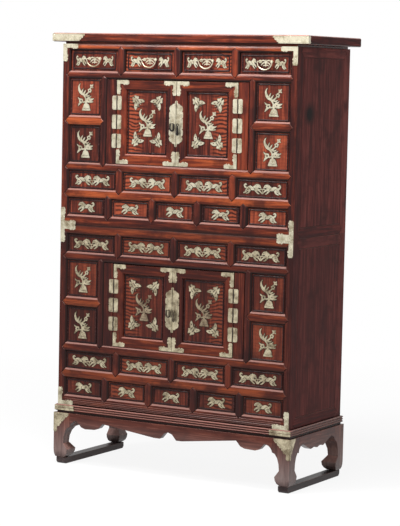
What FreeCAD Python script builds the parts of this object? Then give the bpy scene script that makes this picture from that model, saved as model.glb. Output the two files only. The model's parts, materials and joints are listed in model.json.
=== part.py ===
import FreeCAD, Part
import math
import os

# Two tier chest of frame and panel work on a low stand, with brass mounts.
# Millimetres, Z up. The front looks along -Y, and the floor is Z = 0.
# The origin is the centre of the floor that the whole chest covers.

Vector = FreeCAD.Vector
os.makedirs("parts", exist_ok=True)

# Stand
runner_height = 22.0
runner_width = 37.0
runner_setback = 7.0
runner_tip_share = 0.33
leg_frame_height = 159.0
leg_width = 66.0
leg_ankle_width = 39.0
leg_foot_width = 25.0
leg_foot_height = 30.0
leg_ankle_height = 52.0
leg_knee_height = 111.0
foot_tuck = 8.0
leg_toe_share = 0.62
leg_curve_facets = 4
stand_side_overhang = 11.0
stand_front_overhang = 8.0
apron_thickness = 24.0
apron_drop = 49.0
side_apron_drop = 53.0
shadow_groove_height = 6.0
shadow_groove_depth = 6.0
stand_frame_width = 60.0

# Moulding over the stand
moulding_height = 23.0
moulding_side_overhang = 9.0
moulding_front_overhang = 5.0
moulding_width = 58.0
moulding_reeds = 3
reed_rise = 3.0
reed_flat_share = 0.3

# Tiers
tier_width = 910.0
tier_depth = 383.0
post_width = 28.0
post_depth = 45.0
strut_width = 32.0
door_post_width = 28.0
door_opening_width = 550.0
front_thickness = 22.0
bevel = 6.5
tip_bevel = 3.0
mid_rail_height = 36.0
long_panels = 4
short_panels = 5
lower_bottom_rail = 36.0
lower_five_row = 58.0
lower_second_rail = 35.0
lower_four_row = 58.0
lower_third_rail = 33.0
lower_door_row = 286.0
lower_fourth_rail = 31.0
lower_top_row = 59.0
lower_top_rail = 33.0
upper_bottom_rail = 37.0
upper_five_row = 56.0
upper_second_rail = 34.0
upper_four_row = 61.0
upper_third_rail = 30.0
upper_door_row = 287.0
upper_fourth_rail = 27.0
upper_top_row = 70.0
upper_top_rail = 22.0
rail_reed_count = 4
rail_reed_depth = 1.4

# Panels set in the front
panel_recess = 8.0
panel_thickness = 6.0
panel_tongue = 5.0
bead_gap = 2.0
bead_width = 5.0
bead_rise = 2.5

# Sides and back
side_rail_height = 35.0
side_thickness = 22.0
side_panel_thickness = 12.0
side_tongue_thickness = 5.0
back_rail_height = 35.0
back_thickness = 20.0
back_panel_thickness = 8.0
back_panel_recess = 6.0
groove_depth = 6.0
board_groove_depth = 4.0
tenon_length = 14.0
tenon_share = 0.4

# Boards inside
floor_thickness = 12.0
floor_drop = 4.0
ceiling_thickness = 10.0
ceiling_drop = 3.0
dust_board_thickness = 10.0
divider_thickness = 12.0
guide_height = 14.0

# Top
neck_height = 7.0
neck_inset = 6.0
top_thickness = 30.0
top_side_overhang = 39.5
top_front_overhang = 6.0
top_round = 5.0

# Doors
door_recess = 4.0
door_thickness = 18.0
door_edge_gap = 1.5
door_seam_gap = 1.4
door_stile = 38.0
door_rail = 34.0
door_bevel = 4.0
hinge_gap = 3.0
jamb_margin = 17.5
hinge_count = 3
hinge_height = 48.0
hinge_spacing_share = 0.226
hinge_leaf_width = 19.0
knuckle_size = 5.0
pin_radius = 1.25
pin_clearance = 0.05
pin_facets = 6
knuckle_end_gap = 0.3

# Drawers
drawer_recess = 8.0
drawer_clearance = 0.8
drawer_running_gap = 0.3
drawer_front_thickness = 18.0
drawer_side_thickness = 9.0
drawer_bottom_thickness = 6.0
drawer_bottom_lift = 3.0
drawer_side_drop = 6.0
drawer_travel = 230.0
drawer_hold = 100.0
drawer_margin = 6.0

# Brass
mount_thickness = 1.2
corner_arm = 63.0
corner_leg = 62.0
corner_arm_width = 15.5
corner_leg_width = 20.0
top_mount_length = 130.0
top_mount_return = 16.0
moulding_mount_length = 76.0
leg_mount_width = 61.0
leg_mount_height = 70.0
leg_mount_return = 38.0
bracket_arm = 50.0
bracket_width = 18.0
lock_half_width = 26.5
lock_height = 155.0
lock_rib_width = 5.0
lock_rib_rise = 2.4
lock_rib_share = 0.34
butterfly_size = 42.0
butterfly_spread = 43.0
butterfly_top_rise = 73.0
butterfly_low_drop = 62.0
butterfly_top_turn = -140
butterfly_low_turn = -40
column_vase_share = 0.55
door_vase_share = 0.43
vase_height = 92.0
beast_pair_share = 0.74
beast_single_share = 0.455
beast_height = 34.0
pair_gap = 8.0
drawer_beast_gap = 7.5

# Bails and pulls
bail_post_spacing = 42.0
bail_shoulder = 8.5
bail_drop = 29.0
bail_thickness = 4.0
bail_band = 5.0
bail_standoff = 8.0
bail_lift_share = 0.26
bail_belly_share = 1.4
bail_facets = 7
rosette_petals = 8
rosette_radius = 6.5
staple_width = 3.0
staple_height = 5.4
pivot_radius = 1.5
pivot_clearance = 0.05
pull_offset = 10.5
pull_standoff = 8.0
pull_thickness = 3.0
pull_window = 4.4
pull_window_reach = 4.3
ring_width = 18.0
ring_drop = 27.0
ring_band = 3.5
ring_facets = 5
drop_width = 9.5
drop_length = 42.0

# Length by which a cutting tool runs past what it cuts
overrun = 2.0

# Levels and planes worked out from the sizes above
runner_top = runner_height
stand_top = runner_top + leg_frame_height
shadow_top = stand_top + shadow_groove_height
moulding_top = shadow_top + moulding_height
front_y = (mount_thickness - tier_depth) / 2
back_y = front_y + tier_depth
side_x = tier_width / 2
inner_x = side_x - post_width
door_post_x = door_opening_width / 2
stand_x = side_x + stand_side_overhang
stand_front = front_y - stand_front_overhang
stand_back = back_y + stand_front_overhang
door_face = front_y + door_recess
hinge_y = door_face - knuckle_size / 2
pull_y = door_face - mount_thickness - pull_standoff
bail_width = bail_post_spacing + 2 * bail_shoulder


def block(x0, x1, y0, y1, z0, z1):
    """A plain block between two corners."""
    return Part.makeBox(x1 - x0, y1 - y0, z1 - z0, Vector(x0, y0, z0))


def outline(plane, steps, level):
    """A face from an outline. Two numbers run straight to a point, four go there by an arc."""
    places = {
        "xz": lambda u, v: Vector(u, level, v),
        "yz": lambda u, v: Vector(level, u, v),
        "xy": lambda u, v: Vector(u, v, level),
    }
    place = places[plane]
    edges = []
    here = place(*steps[-1][-2:])
    for step in steps:
        there = place(*step[-2:])
        if len(step) == 4:
            edges.append(Part.Arc(here, place(*step[:2]), there).toShape())
        elif here.distanceToPoint(there) > 0:
            edges.append(Part.LineSegment(here, there).toShape())
        here = there
    return Part.Face(Part.Wire(edges))


def slab(plane, steps, start, end):
    """A solid with the outline's shape, between two levels square to its plane."""
    across = {"xz": Vector(0, 1, 0), "yz": Vector(1, 0, 0), "xy": Vector(0, 0, 1)}[plane]
    return outline(plane, steps, start).extrude(across * (end - start))


def shaped(shares, width, height, x=0.0, z=0.0, flip=1):
    """An outline given in shares of its width and height, set at a place."""
    scale = (flip * width, height)
    return [
        tuple((x, z)[i % 2] + value * scale[i % 2] for i, value in enumerate(step))
        for step in shares
    ]


def round_run(x, z, radius_x, radius_z, first, last, count):
    """Points along part of an ellipse. The angles are in degrees from +X towards +Z."""
    angles = [math.radians(first + (last - first) * i / count) for i in range(count + 1)]
    return [(x + radius_x * math.cos(a), z + radius_z * math.sin(a)) for a in angles]


def facet_bar(axis, x, y, z, length, radius, sides=pin_facets):
    """A many-sided bar along X or Z from a point. The radius is that of its corners."""
    turns = [2 * math.pi * (i + 0.5) / sides for i in range(sides)]
    if axis == "z":
        steps = [(x + radius * math.cos(a), y + radius * math.sin(a)) for a in turns]
        return slab("xy", steps, z, z + length)
    steps = [(y + radius * math.cos(a), z + radius * math.sin(a)) for a in turns]
    return slab("yz", steps, x, x + length)


def bore_radius(radius, clearance):
    """Corner radius of a many-sided bore whose flats clear a pin."""
    return (radius + clearance) / math.cos(math.pi / pin_facets)


def mirrored(solids):
    """The same pieces on the other side of the chest."""
    return [s.mirror(Vector(0, 0, 0), Vector(1, 0, 0)) for s in solids]


def both_sides(solids):
    return solids + mirrored(solids)


def joined(solids):
    """One solid from several that touch."""
    return solids[0].multiFuse(solids[1:]).removeSplitter() if len(solids) > 1 else solids[0]


def cut_by(solids, tools):
    """Each solid with the tools that reach it taken away."""
    left = []
    for solid in solids:
        near = [t for t in tools if solid.BoundBox.intersect(t.BoundBox)]
        left.append(solid.cut(near).removeSplitter() if near else solid)
    return left


def save(node, solids):
    """Write one node and say what it holds."""
    flat = [s for solid in solids for s in solid.Solids]
    Part.makeCompound(flat).exportStep("parts/" + node + ".step")
    print(node, len(flat), "solids")


# Front members with pointed ends


def rail(x0, x1, z0, z1, y0=front_y, thickness=front_thickness):
    """A cross rail. Its ends are points at 45 degrees that go into the uprights."""
    tip = (z1 - z0) / 2
    middle = (z0 + z1) / 2
    steps = [(x0, z0), (x1, z0), (x1 + tip, middle), (x1, z1), (x0, z1), (x0 - tip, middle)]
    return slab("xz", steps, y0, y0 + thickness)


def strut(x0, x1, z0, z1):
    """An upright between two rails, pointed in the same way."""
    tip = (x1 - x0) / 2
    middle = (x0 + x1) / 2
    steps = [(x0, z0), (middle, z0 - tip), (x1, z0), (x1, z1), (middle, z1 + tip), (x0, z1)]
    return slab("xz", steps, front_y, front_y + front_thickness)


def eased(member):
    """A front member with the edges of its pointed ends taken off, so that the points stand out."""
    def at_tip(edge):
        box = edge.BoundBox
        return box.YMax < front_y + tip_bevel and min(box.XLength, box.ZLength) > tip_bevel

    return member.makeChamfer(tip_bevel, [edge for edge in member.Edges if at_tip(edge)])


def splay(x0, x1, z0, z1, depth, y=front_y):
    """The tool that bevels the four edges of an opening, with mitred corners."""
    near, far = y - overrun, y + depth
    grow = depth + overrun
    corners = []
    for level, out in ((near, grow), (far, 0)):
        corners.append([
            Vector(x0 - out, level, z0 - out),
            Vector(x1 + out, level, z0 - out),
            Vector(x1 + out, level, z1 + out),
            Vector(x0 - out, level, z1 + out),
        ])
    loops = [corners[0], corners[1]]
    for i in range(4):
        j = (i + 1) % 4
        loops.append([corners[0][i], corners[0][j], corners[1][j], corners[1][i]])
    faces = [Part.Face(Part.makePolygon(loop + loop[:1])) for loop in loops]
    return Part.Solid(Part.Shell(faces))


def beaded_panel(x0, x1, z0, z1, face_y, tongue, gap, thickness):
    """A thin board with tongues above and below, and a raised bead round its field."""
    board = block(x0, x1, face_y, face_y + thickness, z0 - tongue, z1 + tongue)
    lift = face_y - bead_rise
    inner = gap + bead_width
    ring = block(x0 + gap, x1 - gap, lift, face_y, z0 + gap, z1 - gap)
    field = block(x0 + inner, x1 - inner, lift, face_y, z0 + inner, z1 - inner)
    return joined([board, ring.cut(field)])


def row_spans(count):
    """The clear openings of a row, from left to right."""
    clear = (2 * inner_x - (count - 1) * strut_width) / count
    starts = [-inner_x + i * (clear + strut_width) for i in range(count)]
    return [(x, x + clear) for x in starts]


def stack(base, rails, rows):
    """Levels of the rails and rows of a tier, from the bottom up."""
    rail_levels, row_levels = [], []
    z = base
    for i, height in enumerate(rails):
        rail_levels.append((z, z + height))
        z += height
        if i < len(rows):
            row_levels.append((z, z + rows[i]))
            z += rows[i]
    return rail_levels, row_levels


def tier_layout(name, base, rails, rows, top_row_has_drawers):
    """Every level and opening of one tier."""
    rail_levels, row_levels = stack(base, rails, rows)
    five, four, doors, top = row_levels
    middle = (doors[0] + doors[1]) / 2
    half = mid_rail_height / 2
    column = (door_post_x + door_post_width, inner_x)
    side_cells = [(column, (doors[0], middle - half)), (column, (middle + half, doors[1]))]
    left_cells = [((-x[1], -x[0]), z) for x, z in side_cells]
    top_cells = [(x, top) for x in row_spans(long_panels)]
    cells = [(x, five) for x in row_spans(short_panels)]
    cells += [(x, four) for x in row_spans(long_panels)]
    cells += side_cells + left_cells
    return {
        "name": name,
        "base": base,
        "top": rail_levels[-1][1],
        "rails": rail_levels,
        "five": five,
        "four": four,
        "doors": doors,
        "top_row": top,
        "middle": middle,
        "drawer_cells": top_cells if top_row_has_drawers else [],
        "panel_cells": cells if top_row_has_drawers else cells + top_cells,
        "column": column,
        "side_cells": side_cells,
    }


lower = tier_layout(
    "lower",
    moulding_top,
    (lower_bottom_rail, lower_second_rail, lower_third_rail, lower_fourth_rail, lower_top_rail),
    (lower_five_row, lower_four_row, lower_door_row, lower_top_row),
    False,
)
upper = tier_layout(
    "upper",
    lower["top"],
    (upper_bottom_rail, upper_second_rail, upper_third_rail, upper_fourth_rail, upper_top_rail),
    (upper_five_row, upper_four_row, upper_door_row, upper_top_row),
    True,
)
neck_top = upper["top"] + neck_height
chest_top = neck_top + top_thickness


# Boards inside a tier


def inside_board(z0, z1, reach_x, reach_front, reach_back):
    """A board that fills the tier between its posts, with the four corners cut out."""
    near, far = front_y + reach_front, back_y - reach_back
    post_near, post_far = front_y + post_depth, back_y - post_depth
    half = [(inner_x, near), (inner_x, post_near), (reach_x, post_near)]
    half += [(reach_x, post_far), (inner_x, post_far), (inner_x, far)]
    steps = half + [(-x, y) for x, y in reversed(half)]
    return slab("xy", steps, z0, z1)


def floor_levels(tier):
    top = tier["rails"][0][1] - floor_drop
    return top - floor_thickness, top


def ceiling_levels(tier):
    top = tier["top"] - ceiling_drop
    return top - ceiling_thickness, top


def dust_board_levels(tier):
    top = tier["rails"][3][1]
    return top - dust_board_thickness, top


def tier_boards(tier):
    """Floor and ceiling, let into grooves all round."""
    reach = side_x - side_thickness + board_groove_depth
    front_reach = front_thickness - board_groove_depth
    back_reach = back_thickness - board_groove_depth
    return [
        inside_board(*levels, reach, front_reach, back_reach)
        for levels in (floor_levels(tier), ceiling_levels(tier))
    ]


def dust_board(tier):
    """The board that the drawers run on, between the side panels."""
    reach = side_x - side_panel_thickness
    return inside_board(
        *dust_board_levels(tier), reach, front_thickness - board_groove_depth, back_thickness
    )


# Sides and back


def side_pieces(tier):
    """Rails and flush panel of the right side, and the tongue that goes into the frame."""
    near, far = front_y + post_depth, back_y - post_depth
    tip = side_rail_height / 2
    pieces = []
    for z0 in (tier["base"], tier["top"] - side_rail_height):
        z1, middle = z0 + side_rail_height, z0 + tip
        steps = [(near, z0), (far, z0), (far + tip, middle), (far, z1), (near, z1)]
        steps.append((near - tip, middle))
        pieces.append(slab("yz", steps, side_x - side_thickness, side_x))
    low, high = tier["base"] + side_rail_height, tier["top"] - side_rail_height
    inside = side_x - side_panel_thickness
    tongue = block(
        inside,
        inside + side_tongue_thickness,
        near - groove_depth,
        far + groove_depth,
        low - groove_depth,
        high + groove_depth,
    )
    panel = joined([block(inside, side_x, near, far, low, high), tongue])
    return pieces, panel, tongue


def back_pieces(tier):
    """Three rails with tenons and two panels, and the tongues of those panels."""
    y0 = back_y - back_thickness
    tenon = back_thickness * tenon_share
    tenon_y = y0 + (back_thickness - tenon) / 2
    ledge = dust_board_levels(tier)[1]
    lows = [tier["base"], ledge - back_rail_height, tier["top"] - back_rail_height]
    rails, tenons, panels = [], [], []
    for z0 in lows:
        z1 = z0 + back_rail_height
        reach = inner_x + tenon_length
        body = block(-inner_x, inner_x, y0, back_y, z0, z1)
        bar = block(-reach, reach, tenon_y, tenon_y + tenon, z0 + groove_depth, z1 - groove_depth)
        tenons.append(bar)
        rails.append(joined([body, bar]))
    for low, high in zip(lows, lows[1:]):
        far = back_y - back_panel_recess
        panels.append(
            block(
                -inner_x - groove_depth,
                inner_x + groove_depth,
                far - back_panel_thickness,
                far,
                low + back_rail_height - groove_depth,
                high + groove_depth,
            )
        )
    return rails, tenons, panels


# One tier of the case


def front_members(tier):
    """Rails and uprights of the front, before they are cut to each other."""
    rails = [rail(-inner_x, inner_x, *levels) for levels in tier["rails"]]
    uprights = []
    for row, count in (("five", short_panels), ("four", long_panels), ("top_row", long_panels)):
        spans = row_spans(count)
        for left, right in zip(spans, spans[1:]):
            uprights.append(strut(left[1], right[0], *tier[row]))
    posts = both_sides([strut(door_post_x, tier["column"][0], *tier["doors"])])
    half = mid_rail_height / 2
    mid_rails = both_sides([rail(*tier["column"], tier["middle"] - half, tier["middle"] + half)])
    return rails, uprights, posts, mid_rails


def panel_grooves(tier):
    """Grooves in the rails for the tongues of the panels, one along each row of panels."""
    face_y = front_y + panel_recess
    rows = [((-inner_x, inner_x), tier[row]) for row in ("five", "four", "top_row")]
    if tier["drawer_cells"]:
        rows.pop()
    for x, z in tier["side_cells"]:
        rows += [(x, z), ((-x[1], -x[0]), z)]
    return [
        block(*x, face_y, face_y + panel_thickness, z[0] - panel_tongue, z[1] + panel_tongue)
        for x, z in rows
    ]


def rail_reeds(tier):
    """Fine grooves that leave reeds along the bottom rail."""
    low, high = tier["rails"][0]
    usable = high - bevel - low
    tools = []
    for i in range(rail_reed_count):
        z = low + usable * (i + 1) / (rail_reed_count + 1)
        deep = front_y + rail_reed_depth
        wide = rail_reed_depth
        half_steps = [(deep, z), (front_y - overrun, z + wide + overrun)]
        half_steps.append((front_y - overrun, z - wide - overrun))
        tools.append(slab("yz", half_steps, -inner_x, inner_x))
    return tools


def build_tier(tier, bay_boards, reeded):
    """Cut the members of one tier to each other and write its nodes."""
    rails, uprights, door_posts, mid_rails = front_members(tier)
    cells = tier["panel_cells"] + tier["drawer_cells"]
    cells = cells + [((-door_post_x, door_post_x), tier["doors"])]
    splays = [splay(*x, *z, bevel) for x, z in cells]
    face_y = front_y + panel_recess
    panels, boards = [], tier_boards(tier)
    for x, z in tier["panel_cells"]:
        panels.append(
            beaded_panel(*x, *z, face_y, panel_tongue, bead_gap, panel_thickness)
        )
    side_rails, side_panel, side_tongue = side_pieces(tier)
    back_rails, tenons, back_panels = back_pieces(tier)
    grooves = boards + bay_boards

    front_post = block(
        inner_x, side_x, front_y, front_y + post_depth, tier["base"], tier["top"]
    )
    back_post = block(
        inner_x, side_x, back_y - post_depth, back_y, tier["base"], tier["top"]
    )
    post_tools = rails + mid_rails + splays + side_rails + [side_tongue]
    posts = cut_by([front_post, back_post], post_tools + tenons + back_panels)
    door_post_tools = mid_rails + splays + grooves
    rail_tools = uprights + door_posts + splays + panel_grooves(tier) + grooves
    if reeded:
        rail_tools = rail_tools + rail_reeds(tier)
    name = tier["name"]
    save(name + "_corner_posts", both_sides(posts))
    save(
        name + "_front_rails",
        cut_by(map(eased, rails), rail_tools)
        + cut_by(map(eased, mid_rails), splays + panel_grooves(tier)),
    )
    jamb = block(
        door_post_x - jamb_width(),
        door_post_x,
        door_face,
        door_face + door_thickness,
        *tier["doors"],
    )
    save(
        name + "_front_struts",
        cut_by(map(eased, uprights), splays + grooves)
        + cut_by(map(eased, door_posts), door_post_tools)
        + both_sides([jamb]),
    )
    save(name + "_front_panels", panels)
    sides = cut_by(side_rails, boards + [side_tongue]) + [side_panel]
    save(name + "_sides", both_sides(sides))
    save(name + "_back", cut_by(back_rails, boards + back_panels) + back_panels)
    save(name + "_boards", boards)


def jamb_width():
    """Strip between the door post and the hinged edge of the door."""
    return door_post_x - door_edge_x() - hinge_gap


def door_edge_x():
    """The hinged edge of a door, which leaves room for the frame leaf of its hinge."""
    return door_post_x - hinge_gap - hinge_leaf_width - jamb_margin


pin_x = door_edge_x() + hinge_gap / 2


# Drawer bay


def drawer_bay(tier):
    """Dust board, dividers with guides, and side guides under the outer drawers."""
    low, high = tier["top_row"][0], ceiling_levels(tier)[0]
    near, far = front_y + front_thickness, back_y - back_thickness
    spans = row_spans(long_panels)
    pieces = []
    for left, right in zip(spans, spans[1:]):
        middle = (left[1] + right[0]) / 2
        half, foot = divider_thickness / 2, strut_width / 2
        side = [(foot, low), (foot, low + guide_height)]
        side += [(half, low + guide_height), (half, high)]
        steps = [(middle + x, z) for x, z in side]
        steps += [(middle - x, z) for x, z in reversed(side)]
        pieces.append(slab("xz", steps, near, far))
    wall = side_x - side_panel_thickness
    post_near, post_far = front_y + post_depth, back_y - post_depth
    guide = block(inner_x, wall, post_near, post_far, low, low + guide_height)
    under = dust_board_levels(tier)[0]
    ledger = block(inner_x, wall, post_near, post_far, under - guide_height, under)
    return pieces + both_sides([guide, ledger])


# Doors


def door_box(tier):
    """Edges of the right door, seam edge first."""
    low, high = tier["doors"]
    return door_seam_gap / 2, door_edge_x(), low + door_edge_gap, high - door_edge_gap


def door_frame(tier):
    """Two stiles and two rails, mitred at the corners."""
    x0, x1, z0, z1 = door_box(tier)
    a, b = x0 + door_stile, x1 - door_stile
    c, d = z0 + door_rail, z1 - door_rail
    runs = [
        [(x0, z0), (a, c), (a, d), (x0, z1)],
        [(x1, z0), (x1, z1), (b, d), (b, c)],
        [(x0, z0), (x1, z0), (b, c), (a, c)],
        [(x0, z1), (a, d), (b, d), (x1, z1)],
    ]
    members = [slab("xz", steps, door_face, door_face + door_thickness) for steps in runs]
    panel = beaded_panel(
        a, b, c, d, door_face + panel_recess, panel_tongue, bead_gap, panel_thickness
    )
    return cut_by(members, [splay(a, b, c, d, door_bevel, door_face), panel]), panel


def hinge_places(tier):
    """Middle heights of the hinges of a door."""
    step = (tier["doors"][1] - tier["doors"][0]) * hinge_spacing_share
    first = tier["middle"] - step * (hinge_count - 1) / 2
    return [first + step * i for i in range(hinge_count)]


def hinge(middle):
    """Frame leaf with end knuckles and pin, and door leaf with the middle knuckle."""
    low, high = middle - hinge_height / 2, middle + hinge_height / 2
    third = hinge_height / 3
    front = door_face - mount_thickness
    near = knuckle_size / 2 + knuckle_end_gap

    def plate(sign, start, end, z0, z1):
        ends = sorted((pin_x + sign * start, pin_x + sign * end))
        return block(*ends, front, door_face, z0, z1)

    def knuckle(z0, z1, sign):
        barrel = facet_bar("z", pin_x, hinge_y, z0, z1 - z0, knuckle_size / 2)
        return [barrel, plate(sign, 0, near, z0, z1)]

    def leaf(sign):
        return plate(sign, near, near + hinge_leaf_width, low, high)

    pin = facet_bar("z", pin_x, hinge_y, low, hinge_height, pin_radius)
    ends = knuckle(low, low + third, 1) + knuckle(high - third, high, 1)
    z0, z1 = low + third + knuckle_end_gap, high - third - knuckle_end_gap
    hole = bore_radius(pin_radius, pin_clearance)
    bore = facet_bar("z", pin_x, hinge_y, low, hinge_height, hole)
    return joined([leaf(1), pin] + ends), joined([leaf(-1)] + knuckle(z0, z1, -1)).cut(bore)


# Outlines of the brass mounts, in shares of their width and height

bracket_arm_shares = [(0.88, 0.0), (1.0, 0.46), (0.78, 1.12), (0.54, 0.92)]
lock_shares = [
    (0.0, -0.5),
    (0.3, -0.42),
    (0.8, -0.38),
    (1.0, -0.28),
    (0.82, -0.2),
    (1.0, -0.12),
    (1.0, 0.12),
    (0.82, 0.2),
    (1.0, 0.28),
    (0.8, 0.38),
    (0.3, 0.42),
    (0.0, 0.5),
]
drop_shares = [
    (0.0, 0.0),
    (0.5, 0.0),
    (0.5, -0.14),
    (0.24, -0.22),
    (0.2, -0.5),
    (0.42, -0.82),
    (0.3, -0.94),
    (0.0, -1.0),
]
butterfly_shares = [(0.0, -0.36), (0.3, -0.42), (0.22, -0.1), (0.5, 0.16), (0.34, 0.44), (0.0, 0.22)]
vase_shares = [
    (0.0, -0.5),
    (0.16, -0.5),
    (0.26, -0.32),
    (0.1, -0.18),
    (0.42, -0.16),
    (0.5, 0.04),
    (0.36, 0.32),
    (0.16, 0.26),
    (0.0, 0.5),
]
beast_shares = [
    (-0.5, -0.44),
    (0.08, -0.26),
    (0.46, -0.5),
    (0.34, 0.0),
    (0.5, 0.36),
    (0.04, 0.16),
    (-0.3, 0.5),
    (-0.26, 0.0),
]
leg_mount_shares = [
    (0.0, 0.0),
    (1.0, 0.0),
    (0.94, -0.2),
    (0.66, -0.3),
    (0.6, -0.48),
    (0.38, -0.56),
    (0.3, -0.8),
    (0.0, -1.0),
]


def flat_mount(shares, width, height, x, z, face_y, flip=1, turn=0.0):
    """A thin brass plate on a face, cut to an outline."""
    plate = slab("xz", shaped(shares, width, height, flip=flip), 0, mount_thickness)
    if turn:
        plate.rotate(Vector(0, 0, 0), Vector(0, 1, 0), turn)
    plate.translate(Vector(x, face_y - mount_thickness, z))
    return plate


def with_mirror(shares):
    """The whole outline of a shape that is given by its right half."""
    return shares + [(-x, z) for x, z in shares[-2:0:-1]]


def angle_mount(arm, leg, arm_width, leg_width, x, z, face_y, right, up):
    """An L shaped corner mount. Its arm runs along a rail and its leg along an upright."""
    along = [(u * arm, v * arm_width) for u, v in bracket_arm_shares]
    upward = [(v * leg_width, u * leg) for u, v in reversed(bracket_arm_shares)]
    steps = [(0, 0)] + along + [(leg_width, arm_width)] + upward
    steps = [(x + right * u, z + up * v) for u, v in steps]
    return slab("xz", steps, face_y - mount_thickness, face_y)


def door_mounts(tier):
    """Brackets, butterflies, vase, half lock plate with its staple, and hinge leaves."""
    x0, x1, z0, z1 = door_box(tier)
    brackets = [
        angle_mount(
            bracket_arm, bracket_arm, bracket_width, bracket_width, x, z, door_face, right, up
        )
        for x, right in ((x0, 1), (x1, -1))
        for z, up in ((z0, 1), (z1, -1))
    ]
    centre = (x0 + x1) / 2
    field = door_face + panel_recess
    middle = tier["middle"]
    vase_width = (x1 - x0 - 2 * door_stile) * door_vase_share
    vase = flat_mount(with_mirror(vase_shares), vase_width, vase_height, centre, middle, field)
    insects = []
    for right in (1, -1):
        for lift, turn in (
            (butterfly_top_rise, butterfly_top_turn),
            (-butterfly_low_drop, butterfly_low_turn),
        ):
            insects.append(
                flat_mount(
                    with_mirror(butterfly_shares),
                    butterfly_size,
                    butterfly_size,
                    centre + right * butterfly_spread,
                    middle + lift,
                    field,
                    turn=right * turn,
                )
            )
    steps = shaped(lock_shares, lock_half_width - x0, lock_height, x=x0, z=middle)
    lock = slab("xz", steps, door_face - mount_thickness, door_face)
    rib = block(
        x0,
        x0 + lock_rib_width / 2,
        door_face - lock_rib_rise,
        door_face - mount_thickness,
        middle - lock_height * lock_rib_share,
        middle + lock_height * lock_rib_share,
    )
    staple_face = door_face - mount_thickness
    plate = joined([lock, rib, staple(pull_offset, staple_face, middle, pull_standoff)])
    leaves = [hinge(z)[1] for z in hinge_places(tier)]
    return brackets + [vase] + insects + [plate] + leaves


def staple(x, face_y, z, standoff):
    """An eye that stands on a plate and carries a pivot across it."""
    centre_y = face_y - standoff
    body = block(
        x - staple_width / 2,
        x + staple_width / 2,
        centre_y - staple_height / 2,
        face_y,
        z - staple_height / 2,
        z + staple_height / 2,
    )
    eye = facet_bar(
        "x",
        x - staple_width,
        centre_y,
        z,
        2 * staple_width,
        bore_radius(pivot_radius, pivot_clearance),
    )
    return body.cut(eye)


def pull(tier, x, body, pivot_half):
    """A flat handle, cut away round the staple, with a pivot across the cut."""
    z, bar = tier["middle"], pivot_radius
    near, far = x - pull_window / 2, x + pull_window / 2
    y0, y1 = pull_y - pull_thickness, pull_y + pull_thickness
    window = block(near, far, y0, y1, z - pull_window_reach, z + pull_window_reach)
    pivot = facet_bar("x", x - pivot_half, pull_y, z, 2 * pivot_half, bar)
    return joined([body.cut(window), pivot])


def pull_slab(steps):
    return slab("xz", steps, pull_y - pull_thickness / 2, pull_y + pull_thickness / 2)


def ring_pull(tier):
    """An oblong ring for the left door."""
    x, top = -pull_offset, tier["middle"] + pivot_radius
    loops = []
    for band, upper_bar in ((0, 0), (ring_band, 2 * pivot_radius)):
        half = ring_width / 2 - band
        low = top - ring_drop + band
        foot = round_run(x, low + half, half, half, 180, 360, ring_facets)
        loops.append([(x - half, top - upper_bar)] + foot + [(x + half, top - upper_bar)])
    body = pull_slab(loops[0]).cut(pull_slab(loops[1]))
    return pull(tier, x, body, ring_width / 2 - ring_band)


def drop_pull(tier):
    """A long narrow drop for the right door, which swells towards its foot."""
    top = tier["middle"] + pivot_radius
    steps = shaped(with_mirror(drop_shares), drop_width, drop_length, x=pull_offset, z=top)
    return pull(tier, pull_offset, pull_slab(steps), drop_width / 2 - pivot_radius / 2)


# Drawers


def drawer_box(tier, span):
    """Edges of a drawer and the plane of its face."""
    low, high = tier["top_row"]
    x0, x1 = span[0] + drawer_clearance, span[1] - drawer_clearance
    return x0, x1, low + drawer_running_gap, high - drawer_clearance, front_y + drawer_recess


def drawer(tier, span):
    """Beaded front, two sides, back and bottom."""
    x0, x1, z0, z1, face = drawer_box(tier, span)
    behind = face + drawer_front_thickness
    far = face + drawer_travel + drawer_hold
    top = z1 - drawer_side_drop
    side = drawer_side_thickness
    front = beaded_panel(
        x0, x1, z0, z1, face + bead_rise, 0, drawer_margin, drawer_front_thickness - bead_rise
    )
    floor_low = z0 + drawer_bottom_lift
    floor_high = floor_low + drawer_bottom_thickness
    return [
        front,
        block(x0, x0 + side, behind, far, z0, top),
        block(x1 - side, x1, behind, far, z0, top),
        block(x0 + side, x1 - side, far - side, far, floor_high, top),
        block(x0 + side, x1 - side, behind, far, floor_low, floor_high),
    ]


def drawer_places(tier, span):
    """Middle of a drawer front and the height of its bail's pivot."""
    x0, x1, z0, z1, face = drawer_box(tier, span)
    middle = (z0 + z1) / 2
    return (x0 + x1) / 2, middle, middle + bail_drop * bail_lift_share, face + bead_rise


def drawer_mounts(tier, span):
    """Rosettes with eyes for the bail, and a beast on each side."""
    x, middle, pivot_z, field = drawer_places(tier, span)
    start = bail_post_spacing / 2 + rosette_radius + drawer_beast_gap
    end = (drawer_box(tier, span)[1] - x) - drawer_margin - bead_width - drawer_beast_gap
    pieces = []
    for side in (1, -1):
        post_x = x + side * bail_post_spacing / 2
        ring = round_run(post_x, pivot_z, rosette_radius, rosette_radius, 0, 360, rosette_petals)
        rosette = slab("xz", ring[1:], field - mount_thickness, field)
        eye = staple(post_x, field - mount_thickness, pivot_z, bail_standoff)
        pieces.append(joined([rosette, eye]))
        pieces.append(
            flat_mount(
                beast_shares,
                end - start,
                beast_height,
                x + side * (start + end) / 2,
                middle,
                field,
                flip=-side,
            )
        )
    return pieces


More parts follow.
